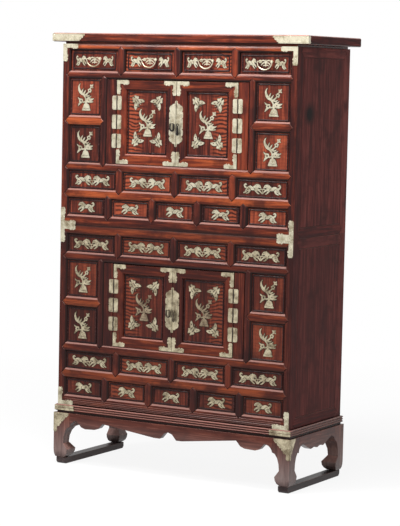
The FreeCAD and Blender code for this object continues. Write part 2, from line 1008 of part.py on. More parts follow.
def bail(tier, span):
    """A crescent with a pivot at each tip."""
    x, middle, z, field = drawer_places(tier, span)
    centre_y = field - mount_thickness - bail_standoff
    y0, y1 = centre_y - bail_thickness / 2, centre_y + bail_thickness / 2
    outer, inner = bail_width / 2, bail_width / 2 - bail_band
    top = z + bail_thickness / 2
    belly = bail_drop - bail_band * bail_belly_share
    steps = [(x - outer, top)] + round_run(x, z, outer, bail_drop, 180, 360, bail_facets)
    steps += [(x + outer, top), (x + inner, top)]
    steps += round_run(x, z, inner, belly, 360, 180, bail_facets) + [(x - inner, top)]
    body = slab("xz", steps, y0, y1)
    post = bail_post_spacing / 2
    reach = inner - post + staple_width
    starts = (post - staple_width, -inner)
    pivots = [facet_bar("x", x + u, centre_y, z, reach, pivot_radius) for u in starts]
    return joined([body] + pivots)


# Mounts on the case


def case_mounts(tier):
    """Corner mounts where the tier's top and bottom rails meet its front posts."""
    sizes = (corner_arm, corner_leg, corner_arm_width, corner_leg_width)
    ends = ((tier["base"], 1), (tier["top"], -1))
    return both_sides([angle_mount(*sizes, side_x, z, front_y, -1, up) for z, up in ends])


def panel_mounts(tier):
    """Vases on the upright panels, facing pairs on the long ones, single beasts on the short ones."""
    face = front_y + panel_recess
    pieces = []
    for x, z in tier["side_cells"]:
        middle_x, middle_z = sum(x) / 2, sum(z) / 2
        width = (x[1] - x[0]) * column_vase_share
        vase = flat_mount(with_mirror(vase_shares), width, vase_height, middle_x, middle_z, face)
        pieces += both_sides([vase])
    rows = [tier["four"]] if tier["drawer_cells"] else [tier["four"], tier["top_row"]]
    for levels in rows:
        middle_z = sum(levels) / 2
        for span in row_spans(long_panels):
            width = ((span[1] - span[0]) * beast_pair_share - pair_gap) / 2
            offset = (width + pair_gap) / 2
            for side in (1, -1):
                pieces.append(
                    flat_mount(
                        beast_shares,
                        width,
                        beast_height,
                        sum(span) / 2 + side * offset,
                        middle_z,
                        face,
                        flip=side,
                    )
                )
    middle_z = sum(tier["five"]) / 2
    for span in row_spans(short_panels):
        middle_x, width = sum(span) / 2, (span[1] - span[0]) * beast_single_share
        pieces.append(
            flat_mount(beast_shares, width, beast_height, middle_x, middle_z, face, flip=-1)
        )
    return pieces


# Stand


def leg_profile(corner, into):
    """Side view of a leg: straight outside, a hollow inside and a hoof at the foot."""
    foot_low, foot_high = runner_top, runner_top + leg_foot_height
    ankle = runner_top + leg_ankle_height
    knee = runner_top + leg_knee_height
    toe_width = leg_ankle_width + (leg_width - leg_ankle_width) * leg_toe_share
    foot_edge = foot_tuck + leg_foot_width
    toe = toe_width - foot_edge
    hollow = leg_width - leg_ankle_width

    def curve(u, z, reach, rise, first, last):
        return round_run(u, z, reach, rise, first, last, leg_curve_facets)

    tuck_run = curve(foot_tuck, foot_high, foot_tuck, leg_foot_height, 180, 270)
    toe_run = curve(foot_edge, foot_high, toe, leg_foot_height, 270, 360)
    hollow_run = curve(leg_width, ankle, hollow, knee - ankle, 180, 90)
    steps = [(0, stand_top)] + tuck_run + toe_run + hollow_run + [(leg_width, stand_top)]
    return [(corner + into * u, z) for u, z in steps]


def legs():
    """Four legs, each the same shape from the front and from the side."""
    pieces = []
    for y, into in ((stand_front, 1), (stand_back, -1)):
        across = slab("yz", leg_profile(y, into), stand_x - leg_width, stand_x)
        along = slab("xz", leg_profile(stand_x, -1), *sorted((y, y + into * leg_width)))
        pieces.append(along.common(across))
    return both_sides(pieces)


front_apron_shares = [
    (1.0, 1.0),
    (0.978, 0.66, 0.925, 0.5),
    (0.88, 0.9),
    (0.84, 1.0),
    (0.74, 0.96),
    (0.7, 0.84),
    (0.66, 0.48),
    (0.135, 1.0),
    (0.08, 1.0),
    (0.04, 0.62),
    (0.0, 0.5),
]
side_apron_shares = [
    (1.0, 1.0),
    (0.94, 0.68, 0.7, 0.6),
    (0.46, 0.86),
    (0.34, 0.98),
    (0.16, 0.9),
    (0.0, 1.0),
]
back_apron_shares = [(1.0, 1.0), (0.94, 0.62), (0.0, 0.62)]


def apron_steps(shares, half, drop):
    """The whole outline of an apron from the right half of its lower edge."""
    edge = shaped(shares, half, -drop, z=stand_top)
    left = []
    run = list(reversed(edge))
    for i, step in enumerate(run[:-1]):
        end = run[i + 1][-2:]
        middle = (-step[0], step[1]) if len(step) == 4 else ()
        left.append(middle + (-end[0], end[1]))
    return [(half, stand_top)] + edge + left + [(-half, stand_top)]


def aprons():
    """Front, back and side aprons, flush with the faces of the legs."""
    half_x = stand_x - leg_width
    half_y = (stand_back - stand_front) / 2 - leg_width
    middle_y = (stand_front + stand_back) / 2
    front = slab(
        "xz",
        apron_steps(front_apron_shares, half_x, apron_drop),
        stand_front,
        stand_front + apron_thickness,
    )
    back = slab(
        "xz",
        apron_steps(back_apron_shares, half_x, apron_drop),
        stand_back - apron_thickness,
        stand_back,
    )
    side = slab(
        "yz",
        apron_steps(side_apron_shares, half_y, side_apron_drop),
        stand_x - apron_thickness,
        stand_x,
    )
    side.translate(Vector(0, middle_y, 0))
    return [front, back] + both_sides([side])


def runners():
    """Two bars on the floor, front to back, with chamfered ends."""
    near, far = stand_front + runner_setback, stand_back - runner_setback
    tip = runner_height * runner_tip_share
    steps = [(near + tip, 0), (far - tip, 0), (far, tip), (far, runner_top)]
    steps += [(near, runner_top), (near, tip)]
    outer = stand_x - foot_tuck
    return both_sides([slab("yz", steps, outer - runner_width, outer)])


def mitred_frame(reach_x, near, far, width, section):
    """Four mitred bars with one cross-section, given as (outward, height) steps."""
    reach = max(point[0] for point in section)
    low = min(point[-1] for point in section)
    high = max(point[-1] for point in section)
    bars = []
    for y, into in ((near, 1), (far, -1)):
        steps = [(y - into * u, z) for u, z in section]
        bar = slab("yz", steps, -reach_x - reach, reach_x + reach)
        out = reach_x + reach
        edge = y - into * reach
        plan = [(-out, edge), (out, edge), (out - width - reach, y + into * width)]
        plan.append((-out + width + reach, y + into * width))
        bars.append(bar.common(slab("xy", plan, low - overrun, high + overrun)))
    steps = [(reach_x + u, z) for u, z in section]
    bar = slab("xz", steps, near - reach, far + reach)
    out = reach_x + reach
    plan = [(out, near - reach), (out, far + reach)]
    plan += [(reach_x - width, far - width), (reach_x - width, near + width)]
    bars += both_sides([bar.common(slab("xy", plan, low - overrun, high + overrun))])
    return bars


def moulding():
    """The reeded moulding that the lower tier stands on."""
    section = [(-moulding_width, shadow_top), (0, shadow_top)]
    reed = moulding_height / moulding_reeds
    for i in range(moulding_reeds):
        z = shadow_top + reed * i
        flat = reed * reed_flat_share
        section += [(reed_rise, z + (reed - flat) / 2), (reed_rise, z + (reed + flat) / 2)]
        section.append((0, z + reed))
    section.append((-moulding_width, moulding_top))
    reach_x = side_x + moulding_side_overhang - reed_rise
    near = front_y - moulding_front_overhang + reed_rise
    far = back_y + moulding_front_overhang - reed_rise
    return mitred_frame(reach_x, near, far, moulding_width, section)


def shadow_frame():
    """The recessed frame that leaves a dark line over the legs."""
    section = [(-stand_frame_width, stand_top), (0, stand_top)]
    section += [(0, shadow_top), (-stand_frame_width, shadow_top)]
    reach_x = side_x + moulding_side_overhang - shadow_groove_depth
    near = front_y - moulding_front_overhang + shadow_groove_depth
    far = back_y + moulding_front_overhang - shadow_groove_depth
    return mitred_frame(reach_x, near, far, stand_frame_width, section)


def stand_mounts():
    """Scalloped brass on the legs' faces and a strip on the moulding's corners."""
    front = flat_mount(
        leg_mount_shares,
        leg_mount_width,
        leg_mount_height,
        stand_x,
        stand_top,
        stand_front,
        flip=-1,
    )
    steps = shaped(leg_mount_shares, leg_mount_return, leg_mount_height, x=stand_front, z=stand_top)
    side = slab("yz", steps, stand_x, stand_x + mount_thickness)
    near = front_y - moulding_front_overhang
    edge = side_x + moulding_side_overhang
    strip = block(
        edge - moulding_mount_length,
        edge,
        near - mount_thickness,
        near,
        shadow_top + reed_rise,
        moulding_top - reed_rise,
    )
    return both_sides([front, side, strip])


# Top


def top_board():
    """The overhanging top with rounded front and ends."""
    half = side_x + top_side_overhang
    near = front_y - top_front_overhang
    board = block(-half, half, near, back_y, neck_top, chest_top)

    def rounded(edge):
        level = edge.BoundBox.ZLength < top_round
        return level and edge.BoundBox.YMin < back_y - top_round

    return board.makeFillet(top_round, [edge for edge in board.Edges if rounded(edge)])


def neck():
    """The recessed frame under the top."""
    half = side_x - neck_inset
    return block(-half, half, front_y + neck_inset, back_y - neck_inset, upper["top"], neck_top)


def top_mounts():
    """Plates on the front corners of the top, turned round onto its ends."""
    half = side_x + top_side_overhang
    near = front_y - top_front_overhang
    thin = mount_thickness
    plan = [
        (half - top_mount_length, near - thin),
        (half + thin, near - thin),
        (half + thin, near + top_mount_return),
        (half, near + top_mount_return),
        (half, near),
        (half - top_mount_length, near),
    ]
    return both_sides([slab("xy", plan, neck_top + top_round, chest_top - top_round)])


# Write every node

save("top_board", [top_board()])
save("top_neck", [neck()])
save("top_corner_mounts", top_mounts())
build_tier(upper, [dust_board(upper)], False)
build_tier(lower, [], True)
save("upper_drawer_bay", [dust_board(upper)] + drawer_bay(upper))
save("upper_corner_mounts", case_mounts(upper))
save("lower_corner_mounts", case_mounts(lower))
save("base_moulding", moulding())
save("base_shadow_frame", shadow_frame())
save("base_legs", legs())
save("base_aprons", aprons())
save("base_runners", runners())
save("base_mounts", stand_mounts())

for tier in (upper, lower):
    name = tier["name"]
    save(name + "_panel_mounts", panel_mounts(tier))
    leaves = [hinge(z)[0] for z in hinge_places(tier)]
    save(name + "_hinge_frame_leaves", both_sides(leaves))
    members, panel = door_frame(tier)
    brass = door_mounts(tier)
    for side in ("right", "left"):
        door = name + "_" + side + "_door_"
        turn = list if side == "right" else mirrored
        save(door + "frame", turn(members))
        save(door + "panel", turn([panel]))
        save(door + "mounts", turn(brass))
    save(name + "_right_door_pull", [drop_pull(tier)])
    save(name + "_left_door_pull", [ring_pull(tier)])

for number, span in enumerate(row_spans(long_panels), 1):
    save("drawer_%d" % number, drawer(upper, span))
    save("drawer_%d_mounts" % number, drawer_mounts(upper, span))
    save("drawer_%d_bail" % number, [bail(upper, span)])
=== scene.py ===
# %% [markdown]
# # A two tier chest in Blender
# The real thing is a Korean storage chest. It is two cases of frame and panel work, one on top of
# the other, on a low stand with hoofed feet. Pale brass mounts cover its corners, doors and
# panels. The solids already exist as a measured frame, so this lesson doesn't model the chest
# again. It gives each solid its real edges and its real surface, and it makes the brass as fine
# as it is.
#
# The first step loads the frame. It is fixed, and everything below is placed from it.

# %% Start from the frame
import json
import math

import bmesh
import bpy
from mathutils import Matrix, Vector


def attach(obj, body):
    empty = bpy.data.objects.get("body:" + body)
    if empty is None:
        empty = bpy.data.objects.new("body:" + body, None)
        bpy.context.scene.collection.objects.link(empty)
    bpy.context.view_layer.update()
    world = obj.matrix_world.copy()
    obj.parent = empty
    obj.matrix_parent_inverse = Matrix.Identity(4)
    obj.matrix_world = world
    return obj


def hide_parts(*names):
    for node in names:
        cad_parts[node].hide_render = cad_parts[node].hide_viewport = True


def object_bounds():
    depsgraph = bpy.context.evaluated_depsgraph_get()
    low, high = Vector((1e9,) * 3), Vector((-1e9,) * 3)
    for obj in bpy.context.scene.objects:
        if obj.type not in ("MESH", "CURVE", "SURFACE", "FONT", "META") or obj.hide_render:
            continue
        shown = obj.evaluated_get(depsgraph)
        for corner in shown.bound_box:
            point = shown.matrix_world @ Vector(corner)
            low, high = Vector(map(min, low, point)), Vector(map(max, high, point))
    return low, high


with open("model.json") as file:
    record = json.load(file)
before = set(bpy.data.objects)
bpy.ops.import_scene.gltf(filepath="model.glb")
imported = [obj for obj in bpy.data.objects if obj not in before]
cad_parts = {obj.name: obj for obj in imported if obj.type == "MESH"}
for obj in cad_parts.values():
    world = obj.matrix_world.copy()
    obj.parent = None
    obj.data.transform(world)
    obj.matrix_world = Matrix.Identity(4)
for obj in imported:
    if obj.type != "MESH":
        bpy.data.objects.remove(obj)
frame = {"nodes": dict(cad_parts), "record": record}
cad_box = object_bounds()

low_corner, high_corner = (Vector(corner) for corner in cad_box)
size = high_corner - low_corner
print("chest is %.3f wide, %.3f deep, %.3f tall" % tuple(size))

# %% [markdown]
# A node of the frame is a bag of loose triangles, and one node can hold several boards. Boards
# that touch would melt together if the whole bag was merged at once, and a bevel would then skip
# the joint between them. The triangles come board by board, though, and a board is complete when
# each of its edges has been met from both sides. So the bag is walked in order and cut there.

# %% Take the solids of a node apart
level_step = 0.0002


def solids(node):
    """Each closed solid of a node, as its points and its triangles."""
    mesh = frame["nodes"][node].data
    found, points, faces, unmet = [], {}, [], set()
    for triangle in mesh.polygons:
        keys = [tuple(round(c, 6) for c in mesh.vertices[v].co) for v in triangle.vertices]
        faces.append([points.setdefault(key, len(points)) for key in keys])
        for start, end in zip(keys, keys[1:] + keys[:1]):
            if (end, start) in unmet:
                unmet.remove((end, start))
            else:
                unmet.add((start, end))
        if not unmet:
            found.append((list(points), faces))
            points, faces = {}, []
    return found


def box_of(points):
    """Lowest and highest corner of some points."""
    return (
        Vector(min(p[i] for p in points) for i in range(3)),
        Vector(max(p[i] for p in points) for i in range(3)),
    )


def boxes(node):
    """The box of each solid of a node."""
    return [box_of(points) for points, faces in solids(node)]


print("upper front has", len(boxes("upper_front_rails")), "rails and",
      len(boxes("upper_front_struts")), "uprights")

# %% [markdown]
# Materials come next, because every piece needs one when it is made. They are all built from
# nodes, with no picture. Small helpers keep that readable: one adds a node and fills or links its
# inputs, and the others give a name to what such nodes are used for, such as clouds of noise or a
# value that fades from one place to another.
#
# Colours are written as they look on a screen, from 0 to 255, and turned into the linear values
# that the renderer works with.

# %% Helpers for materials
def colour(red, green, blue):
    """Screen values from 0 to 255 as a linear colour."""
    channels = []
    for value in (red, green, blue):
        share = value / 255
        linear = share / 12.92 if share <= 0.04045 else ((share + 0.055) / 1.055) ** 2.4
        channels.append(linear)
    return (*channels, 1.0)


def add_node(tree, kind, inputs=None, **settings):
    """A node with its settings, whose inputs are values or other nodes' outputs."""
    made = tree.nodes.new(kind)
    for name, value in settings.items():
        setattr(made, name, value)
    for socket, value in (inputs or {}).items():
        if isinstance(value, bpy.types.NodeSocket):
            tree.links.new(value, made.inputs[socket])
        else:
            made.inputs[socket].default_value = value
    return made


def new_material(name):
    """A material with an empty node tree, and that tree."""
    material = bpy.data.materials.new(name)
    material.use_nodes = True
    material.node_tree.nodes.clear()
    return material, material.node_tree


def finish_material(tree, inputs):
    """Ends a tree with a Principled shader that has these inputs."""
    shader = add_node(tree, "ShaderNodeBsdfPrincipled", inputs)
    add_node(tree, "ShaderNodeOutputMaterial", {"Surface": shader.outputs["BSDF"]})


def object_place(tree):
    """Where a point lies, in metres."""
    return add_node(tree, "ShaderNodeTexCoord").outputs["Object"]


def noise(tree, place, scale, detail, roughness, distortion=0.0):
    """Soft clouds of noise."""
    inputs = {"Vector": place, "Scale": scale, "Detail": detail, "Roughness": roughness,
              "Distortion": distortion}
    return add_node(tree, "ShaderNodeTexNoise", inputs).outputs["Fac"]


def fade(tree, value, start, end, low, high):
    """Runs from low to high while a value runs from start to end."""
    inputs = {"Value": value, "From Min": start, "From Max": end, "To Min": low, "To Max": high}
    return add_node(tree, "ShaderNodeMapRange", inputs).outputs["Result"]


black = (0.0, 0.0, 0.0, 1.0)
white = (1.0, 1.0, 1.0, 1.0)


def ramp(tree, value, stops):
    """A colour ramp through (position, colour) stops."""
    made = add_node(tree, "ShaderNodeValToRGB", {"Fac": value})
    elements = made.color_ramp.elements
    while len(elements) < len(stops):
        elements.new(1.0)
    for element, (position, shade) in zip(elements, stops):
        element.position = position
        element.color = shade
    return made.outputs["Color"]


def contrast(tree, value, dark_end, bright_end):
    """Black up to one value and white from another on."""
    return ramp(tree, value, [(dark_end, black), (bright_end, white)])


def mix(tree, share, first, second, blend="MIX"):
    """Two colours mixed by a share."""
    made = add_node(tree, "ShaderNodeMix", data_type="RGBA", blend_type=blend)
    # With colours, this node has its factor and its two colours at inputs 0, 6 and 7.
    for number, value in ((0, share), (6, first), (7, second)):
        socket = made.inputs[number]
        if isinstance(value, bpy.types.NodeSocket):
            tree.links.new(value, socket)
        else:
            socket.default_value = value
    return made.outputs[2]


def maths(tree, operation, first, second=0.0):
    """One sum of two values."""
    return add_node(tree, "ShaderNodeMath", {0: first, 1: second}, operation=operation).outputs[0]


def vector_maths(tree, operation, first, second=(0.0, 0.0, 0.0), result="Vector"):
    """One sum of two vectors, or a measure of them."""
    inputs = {0: first, 1: second}
    return add_node(tree, "ShaderNodeVectorMath", inputs, operation=operation).outputs[result]


def bumps(tree, height, strength, distance):
    """Shading as if the surface rose and fell."""
    inputs = {"Height": height, "Strength": strength, "Distance": distance}
    return add_node(tree, "ShaderNodeBump", inputs).outputs["Normal"]


def times(tree, first, second):
    """The product of two values."""
    return maths(tree, "MULTIPLY", first, second)


print("red brown is", tuple(round(c, 3) for c in colour(140, 60, 40)))

# %% [markdown]
# The frame of the chest is a dense red brown wood under old oil and wax. On such wood one sees
# three things: broad streaks along the grain, fine fibres, and a slow drift of tone over a board.
# Noise gives all three if it is stretched along the grain, so the coordinates are squeezed across
# it first. Each board also carries a number of its own, in an attribute, that shifts the pattern
# and the tone. Without it the grain would run on from one board into the next.
#
# Age and light come on top, and each is one more layer of colour. Dirt stays in patches. Painted
# shade darkens every hollow, every slope that faces down and all wood below the upper case, where
# less light falls, and a painted highlight lies on slopes that face up. The feet turn paler and
# greyer towards the floor, and an old stain marks the right side.

# %% Wood
board_attribute = "board"
board_spread = 37.0
fibre_stretch = 34.0
streak_stretch = 16.0
side_inset = 0.0422
case_recess = (low_corner.y + 0.0095, low_corner.y + 0.0122)
tier_joint = 0.839
# Share of painted shade on all wood below the upper case, for the light that falls off lower down.
lower_painted_shade = 0.42
stain_place = (high_corner.x - side_inset, -0.095, 1.245)
# Heights between which the feet turn paler and greyer towards the floor.
scuffed_from, scuffed_to = 0.17, 0.05
door_middle = 0.118
# Dark colour for the painted shade in recesses and on slopes that face down, and for the real stain
# on the side.
shade_and_stain_colour = colour(22, 12, 12)
# Colour of the painted highlight on slopes that face up.
worn_shade = colour(164, 120, 110)
# The pale grey that the feet turn towards the floor.
foot_grey = colour(140, 129, 126)


def grain_coordinates(tree, axis, stretch):
    """Object coordinates squeezed across the grain and shifted for each board."""
    board = add_node(tree, "ShaderNodeAttribute", attribute_name=board_attribute).outputs["Fac"]
    shift = add_node(tree, "ShaderNodeCombineXYZ", {"X": board, "Y": board, "Z": board}).outputs[0]
    far = vector_maths(tree, "MULTIPLY", shift, [board_spread] * 3)
    squeeze = [1.0 if name == axis else stretch for name in "xyz"]
    scaled = vector_maths(tree, "MULTIPLY", object_place(tree), squeeze)
    return vector_maths(tree, "ADD", scaled, far), board


def rippled(tree, shade, place, spot, streaks, dark, light, strength):
    """Dark ripples across the grain, strongest on the outer side of a door's panel."""
    waves = add_node(
        tree, "ShaderNodeTexWave",
        {"Vector": place, "Scale": 26.0, "Distortion": 7.0, "Detail": 2.0, "Detail Scale": 0.8},
        wave_type="BANDS", bands_direction="Z",
    ).outputs["Fac"]
    stripe = contrast(tree, waves, 0.3, 0.85)
    faint = times(tree, times(tree, stripe, streaks), 0.5 * strength)
    across = maths(tree, "ABSOLUTE", spot["X"])
    outer = fade(tree, maths(tree, "SUBTRACT", across, door_middle), 0.01, 0.045, 0.0, strength)
    on_door = maths(tree, "LESS_THAN", across, 2 * door_middle)
    shade = mix(tree, faint, shade, dark)
    return mix(tree, times(tree, outer, on_door), shade, mix(tree, stripe, light, dark))


def painted_recess_shade(tree, shade, spot, front, back):
    """Painted shade that darkens the bevels and grooves behind the front, between two values of y.
    """
    depth = fade(tree, spot["Y"], front, back, 0.0, 0.9)
    across = maths(tree, "ABSOLUTE", spot["X"])
    inside = maths(tree, "LESS_THAN", across, high_corner.x - side_inset)
    at_front = maths(tree, "LESS_THAN", spot["Y"], 0.0)
    return mix(tree, times(tree, depth, times(tree, inside, at_front)), shade, shade_and_stain_colour)


def stain(tree, shade, place, streaks):
    """A round mark that runs out along the grain."""
    away = vector_maths(tree, "DISTANCE", place, stain_place, "Value")
    mark = fade(tree, away, 0.012, 0.045, 2.2, 0.0)
    return mix(tree, times(tree, mark, streaks), shade, shade_and_stain_colour)


def painted_slope_light(tree, shade, strength):
    """Painted highlight on slopes that face up, and painted shade on slopes that face down."""
    facing = add_node(tree, "ShaderNodeNewGeometry").outputs["Normal"]
    upward = add_node(tree, "ShaderNodeSeparateXYZ", {0: facing}).outputs["Z"]
    sloped = maths(tree, "LESS_THAN", maths(tree, "ABSOLUTE", upward), 0.97)
    for start, end, tint in ((0.35, 0.75, worn_shade), (-0.05, -0.4, shade_and_stain_colour)):
        share = fade(tree, upward, start, end, 0.0, strength)
        shade = mix(tree, times(tree, share, sloped), shade, tint)
    return shade


def wood(name, axis, tones, figure=0.0, roughness=0.26, specular=0.2, recess=None, worn=0.0,
         stained=False, scuffed=False):
    """Oiled wood in a dark, a middle and a light tone, its grain along an axis.

    Figure is the strength of ripples, and recess the two values of y between which painted shade
    darkens it. The strength after recess paints a highlight on slopes that face up and shade on
    slopes that face down. All wood below the upper case is darker: painted shade for the light that
    falls off lower down.
    """
    dark, middle, light = tones
    material, tree = new_material(name)
    streaks_at, board = grain_coordinates(tree, axis, streak_stretch)
    fibres_at, board = grain_coordinates(tree, axis, fibre_stretch)
    place = object_place(tree)
    spot = add_node(tree, "ShaderNodeSeparateXYZ", {0: place}).outputs
    streaks = noise(tree, streaks_at, 6.5, 6.0, 0.6, distortion=0.3)
    fibres = noise(tree, fibres_at, 24.0, 3.0, 0.7)
    shift = times(tree, maths(tree, "SUBTRACT", board, 0.25), 0.3)
    tone = maths(tree, "ADD", streaks, shift)
    shade = ramp(tree, tone, [(0.38, dark), (0.55, middle), (0.74, light)])
    pores = contrast(tree, fibres, 0.46, 0.66)
    shade = mix(tree, times(tree, pores, 0.5), shade, dark)
    grime = contrast(tree, noise(tree, place, 13.0, 3.0, 0.6), 0.5, 0.68)
    shade = mix(tree, times(tree, grime, 0.75), shade, dark)
    if figure:
        shade = rippled(tree, shade, place, spot, streaks, dark, light, figure)
    # Painted shade: all wood below the upper case is darker, for the light that falls off lower
    # down.
    lower = fade(tree, spot["Z"], tier_joint, tier_joint + 0.002, lower_painted_shade, 0.0)
    shade = mix(tree, lower, shade, dark)
    if recess:
        # Painted shade in the bevels and grooves behind the front.
        shade = painted_recess_shade(tree, shade, spot, *recess)
    if stained:
        shade = stain(tree, shade, place, streaks)
    # Paler and greyer towards the floor, in streaks.
    if scuffed:
        feet = fade(tree, spot["Z"], scuffed_from, scuffed_to, 0.0, 0.9)
        shade = mix(tree, times(tree, feet, streaks), shade, foot_grey)
    # Painted highlight on slopes that face up and painted shade on slopes that face down.
    if worn:
        shade = painted_slope_light(tree, shade, worn)
    gloss = maths(tree, "ADD", times(tree, streaks, 0.16), roughness - 0.08)
    finish_material(
        tree,
        {"Base Color": shade, "Roughness": gloss, "Normal": bumps(tree, fibres, 0.12, 0.0006),
         "Specular IOR Level": specular, "Specular Tint": (1.0, 0.8, 0.76, 1.0)},
    )
    return material


def shades(*screen_values):
    """Several colours at once."""
    return [colour(*values) for values in screen_values]


def along_axes(name, axes, tones, **looks):
    """The same wood with its grain along each of some axes."""
    return {axis: wood(name + "_" + axis, axis, tones, **looks) for axis in axes}


red_browns = shades((46, 17, 14), (97, 39, 23), (150, 72, 38))
post_browns = shades((36, 14, 14), (74, 29, 21), (116, 50, 31))
stand_browns = shades((60, 28, 23), (98, 50, 39), (140, 84, 66))
figured_browns = shades((44, 18, 15), (98, 41, 29), (144, 69, 45))
bead_browns = shades((28, 15, 17), (48, 26, 27), (74, 40, 38))
maroons = shades((54, 20, 19), (94, 40, 36), (132, 68, 62))
dark_browns = shades((34, 28, 28), (58, 48, 48), (90, 78, 77))
bare_browns = shades((120, 84, 54), (160, 118, 80), (186, 146, 104))

top_woods = along_axes("front_wood", "x", red_browns, worn=0.5)
case_woods = {
    **along_axes("case_wood", "xy", red_browns, recess=case_recess, worn=0.6),
    **along_axes("case_wood", "z", post_browns, recess=case_recess, worn=0.6),
}
door_woods = {
    **along_axes("door_wood", "x", red_browns, worn=0.5),
    **along_axes("door_wood", "z", post_browns, worn=0.5),
}
side_woods = along_axes(
    "side_wood", "yz", maroons, roughness=0.46, specular=0.05, worn=0.8, stained=True
)
stand_woods = along_axes("stand_wood", "xyz", stand_browns, worn=0.6, scuffed=True)
dark_woods = along_axes("dark_wood", "xy", dark_browns, roughness=0.4, worn=0.5)
inner_woods = along_axes("inner_wood", "xyz", bare_browns, roughness=0.6)
figured_wood = wood("figured_wood", "z", figured_browns, figure=0.7)
# The beads are dark wood, and their darkness also paints the shade of the narrow groove round each
# panel.
bead_wood = wood("bead_wood", "x", bead_browns)
print("made", len(bpy.data.materials), "materials so far")

# %% [markdown]
# The mounts are sheet brass that was polished long ago and has gone pale and dull, with brown
# left in the hollows. Clouds of two sizes mix the bright and the tarnished colour, and the same
# clouds make the tarnish rougher. The lower tier has duller, darker brass and bronze vases on its
# doors, partly their own tarnish and partly painted shade for the light that falls off lower down.
# It has dark bronze pulls, and the pulls of the upper doors are iron. One function makes them all,
# and also the dark patina of engraved lines, which on the hinge barrels is painted shade of the
# gap between the leaves, and the dark rim round the figures, partly old polish and partly painted
# shadow where the figures meet the wood.

# %% Brass and iron
def old_metal(name, bright, tarnished, spread=0.5, roughness=0.33, metallic=0.82, specular=0.5):
    """Worn sheet metal with tarnish in soft patches."""
    material, tree = new_material(name)
    place = object_place(tree)
    broad = noise(tree, place, 38.0, 3.0, 0.6)
    fine = noise(tree, place, 420.0, 2.0, 0.7)
    clouds = maths(tree, "ADD", times(tree, broad, 0.6), times(tree, fine, 0.4))
    patch = ramp(tree, clouds, [(spread - 0.08, white), (spread + 0.1, black)])
    rough = maths(tree, "ADD", times(tree, patch, 0.2), roughness)
    finish_material(
        tree,
        {"Base Color": mix(tree, patch, colour(*bright), colour(*tarnished)), "Metallic": metallic,
         "Roughness": rough, "Normal": bumps(tree, fine, 0.15, 0.0003),
         "Specular IOR Level": specular},
    )
    return material


brass = old_metal("pale_brass", (202, 195, 172), (126, 114, 90), spread=0.46)
# Duller, darker brass for the lower tier and the stand: partly its own tarnish, partly painted
# shade for the light that falls off lower down.
dull_shaded_brass = old_metal("dull_shaded_brass", (196, 185, 157), (112, 99, 78), spread=0.48)
# Bronze for the lower doors' vases: partly its own colour, partly painted shade for less light
# lower down.
bronze = old_metal("bronze", (158, 142, 118), (90, 74, 58), spread=0.48)
dark_bronze = old_metal("dark_bronze", (98, 88, 74), (46, 38, 32), spread=0.48)
iron = old_metal(
    "dark_iron", (30, 27, 26), (18, 15, 15), roughness=0.6, metallic=0.0, specular=0.12
)
# Dark patina in engraved and chased lines; on the hinge barrels it is painted shade of the gap
# between the leaves.
patina_and_shade = old_metal(
    "dark_patina_and_shade", (62, 50, 38), (36, 27, 22), roughness=0.6, metallic=0.4
)
# Near-black rim round the figures: partly old polish, partly painted shadow where they meet the
# wood.
polish_and_shadow = old_metal(
    "polish_and_shadow", (22, 12, 10), (12, 8, 7), roughness=0.7, metallic=0.0, specular=0.08
)
print("metals:", ", ".join(metal.name for metal in (brass, dull_shaded_brass, bronze, dark_bronze, iron)))

# %% [markdown]
# Now the wood itself. Each board is rebuilt from its triangles: points that coincide become one,
# and flat faces become whole again, so a bevel can run along every real edge. A hand plane never
# leaves an edge quite sharp, and the thin line of light along an edge is what shows where two
# boards meet. The bevel is a modifier, with a narrow width for the joints of the front. Rails and
# uprights of the front also have a crown, a slight swell along their middle, which a plane leaves
# when it takes more off towards the edges.
#
# The grain of a board runs along its longest side. Each mesh gets one wood for each direction of
# grain, each board takes the one along its grain, and each board gets the number that its
# material reads.

# %% Boards with edges
body_of_node = {
    node: body for body, nodes in frame["record"]["behaviour"]["bodies"].items() for node in nodes
}
slot_of_node = {part["node"]: part["material_slot"] for part in frame["record"]["subparts"]}
edge_width = 0.0007
edge_angle = math.radians(28)
outer_skin = 0.0005
box_margin = Vector((0.0001, 0.0001, 0.0001))
crown_shares = (-0.86, -0.7, -0.5, -0.25, 0.0, 0.25, 0.5, 0.7, 0.86)
rail_crown = 0.003
post_crown = 0.0022
plain_rail_height = 0.05
post_depth = 0.0105


def board_number(number):
    """A number from 0 to 1 for a board, well spread from board to board."""
    return (number * 0.618 + 0.21) % 1.0


def long_axis(points):
    """The axis along which some points reach furthest."""
    low, high = box_of(points)
    reach = high - low
    return "xyz"[max(range(3), key=lambda i: reach[i])]


def board_mesh(name, parts, woods, first_number=0, outside=None, deep=None):
    """One mesh from several solids, with a material by grain and a number for each board.

    Outside is another material for the faces that lie furthest out on the left and right. Deep is
    another material for the boards that lie behind the front, and only one of the two is given.
    """
    mesh = bpy.data.meshes.new(name)
    work = bmesh.new()
    layer = work.verts.layers.float.new(board_attribute)
    axes = sorted(woods)
    for number, (points, faces) in enumerate(parts, first_number):
        axis = long_axis(points)
        material = axes.index(axis if axis in woods else axes[0])
        if deep and not is_post(*box_of(points)):
            material = len(axes)
        corners = [work.verts.new(point) for point in points]
        for corner in corners:
            corner[layer] = board_number(number)
        for face in faces:
            work.faces.new([corners[i] for i in face]).material_index = material
    bmesh.ops.dissolve_limit(
        work, angle_limit=math.radians(1), verts=work.verts, edges=work.edges
    )
    if outside:
        work.normal_update()
        reach = max(abs(corner.co.x) for corner in work.verts) - outer_skin
        for face in work.faces:
            if abs(face.calc_center_median().x) > reach:
                face.material_index = len(axes)
    work.to_mesh(mesh)
    work.free()
    for axis in axes:
        mesh.materials.append(woods[axis])
    if outside or deep:
        mesh.materials.append(outside or deep)
    return mesh


